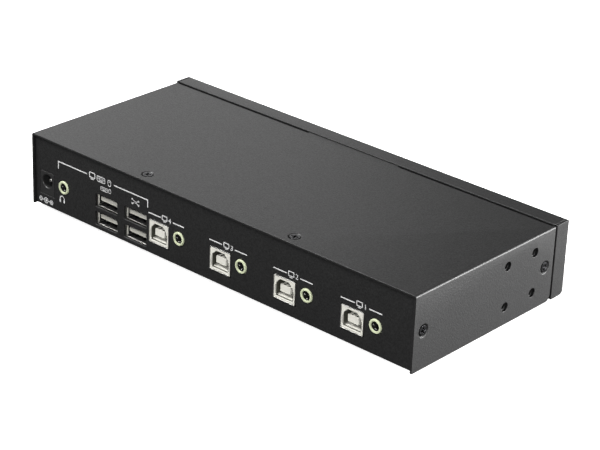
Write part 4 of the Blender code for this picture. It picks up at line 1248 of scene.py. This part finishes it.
def make_front_printing():
    """A monitor over each lamp, and a line over the row of buttons."""
    low, _ = box_of("front_label")
    marks = bmesh.new()
    for port, at in zip(PORTS, BUTTON_AT):
        lamp = middle_of(f"port_lamp_{port}").x
        add_monitor(marks, lamp, at.z + 4.6 * MM, 3.0 * MM)
        ends = (lamp + 3.2 * MM, at.x + BUTTON_SIZE[0] / 2)
        add_line(marks, [(end, FRONT_LINE_Z) for end in ends], 0.35 * MM)
    to_label = Matrix(((1, 0, 0, 0), (0, 0, -1, low.y - INK / 2), (0, 1, 0, 0), (0, 0, 0, 1)))
    print_ink("print_front", marks, to_label)


# Stage

IMAGE_WIDTH = 600
CAMERA_ANGLES = (221.1876, 25.2015, 2.2642)  # azimuth, elevation and roll in degrees
CAMERA_FOCAL = 2081.88 / IMAGE_WIDTH  # the focal length over the image's width
CASE_FROM_CAMERA = Vector((-5.165, -9.291, 909.145)) * MM  # right, up and forward
FLOOR_REACH = 8.0
FLOOR_RETURN = (0.11, 0.11, 0.11)
SOFTBOXES = {  # place, size and power
    "overhead": ((0.0, -0.1, 1.5), (1.2, 1.2), 3),
    "key": ((0.48, -0.24, 0.24), (0.62, 0.4), 1.12),
    "end_light": ((-1.2, -1.05, 0.15), (0.9, 0.6), 100),
    "fill": ((0.75, 0.62, 1.2), (0.7, 0.5), 35),
    "rear_light": ((-0.9, 0.95, 0.45), (0.6, 0.5), 14),
}


def finish_frame_nodes():
    """The CAD nodes that stay take the look of their slot in the record."""
    for entry in frame["record"]["subparts"]:
        node = frame["nodes"][entry["node"]]
        for held in node.material_slots:
            held.material = LOOKS[entry["material_slot"]]


def make_camera():
    """The view from behind the case, on the end at -X, with its lens."""
    azimuth, elevation, roll = (math.radians(angle) for angle in CAMERA_ANGLES)
    across = math.cos(elevation)
    back = Vector(
        (math.sin(azimuth) * across, -math.cos(azimuth) * across, math.sin(elevation))
    )
    forward = -back
    right = forward.cross(Vector((0, 0, 1))).normalized()
    up = right.cross(forward)
    turned_right = math.cos(roll) * right + math.sin(roll) * up
    turned_up = -math.sin(roll) * right + math.cos(roll) * up
    offset = CASE_FROM_CAMERA
    place = -(turned_right * offset.x + turned_up * offset.y + forward * offset.z)
    lens = bpy.data.cameras.new("camera")
    lens.sensor_width = 36.0
    lens.lens = CAMERA_FOCAL * lens.sensor_width
    lens.clip_start = 0.01
    camera = add_object("camera", lens)
    axes = Matrix((turned_right, turned_up, back)).transposed().to_4x4()
    camera.matrix_world = Matrix.Translation(ORIGIN + place) @ axes
    bpy.context.scene.camera = camera


def split_camera_rays(tree, output, to_others, to_camera):
    """Shows one shader to the camera's rays and another to all other light."""
    seen = add_node(tree, "LightPath").outputs["Is Camera Ray"]
    shaders = {1: to_others.outputs[0], 2: to_camera.outputs[0]}
    mix = add_node(tree, "MixShader", {"Fac": seen, **shaders})
    set_inputs(tree.nodes[output], {"Surface": mix.outputs["Shader"]})


def floor_look():
    """Pale to look at, with a soft contact shadow; it sends less light back up to the case."""
    look, tree, shader = new_look("floor", (0.85, 0.85, 0.85), 0.9)
    glow = {"Emission Color": (1, 1, 1, 1), "Emission Strength": 0.75}
    set_inputs(shader, {"Specular IOR Level": 0.1, **glow})
    returned = add_node(tree, "BsdfDiffuse", {"Color": (*FLOOR_RETURN, 1.0)})
    split_camera_rays(tree, "Material Output", returned, shader)
    return look


def make_floor():
    """A pale floor under the feet."""
    shape = bmesh.new()
    corners = [(x * FLOOR_REACH, y * FLOOR_REACH, 0) for x, y in CORNER_SIGNS]
    shape.faces.new([shape.verts.new(corner) for corner in corners])
    mesh = to_mesh("floor", shape)
    mesh.materials.append(floor_look())
    floor = add_object("floor", mesh)
    floor.location = (0, 0, cad_box[0].z)


def add_softbox(name, place, size, power):
    """An area light at a place, facing the case."""
    lamp = bpy.data.lights.new(name, "AREA")
    lamp.shape = "RECTANGLE"
    lamp.size, lamp.size_y = size
    lamp.energy = power
    holder = add_object(name, lamp)
    holder.location = place
    holder.rotation_euler = Vector(place).to_track_quat("Z", "Y").to_euler()


def make_lights():
    """Softboxes, a dim surround, and a pale backdrop that only the camera sees."""
    world = bpy.data.worlds.new("studio")
    world.use_nodes = True
    tree = world.node_tree
    ambient = tree.nodes["Background"]
    set_inputs(ambient, {"Color": (1, 1, 1, 1), "Strength": 0.12})
    backdrop = add_node(tree, "Background", {"Color": (0.9, 0.9, 0.9, 1)})
    split_camera_rays(tree, "World Output", ambient, backdrop)
    bpy.context.scene.world = world
    for name, settings in SOFTBOXES.items():
        add_softbox(name, *settings)
    bpy.context.scene.view_settings.view_transform = "Standard"


make_chassis()
make_cover()
make_case_screws()
make_feet()
make_usb_b_sockets()
make_usb_a_stacks()
make_audio_jacks()
make_dc_jack()
make_buttons()
make_port_lamps()
make_front_label()
make_rear_printing()
make_front_printing()
finish_frame_nodes()
make_camera()
make_floor()
make_lights()
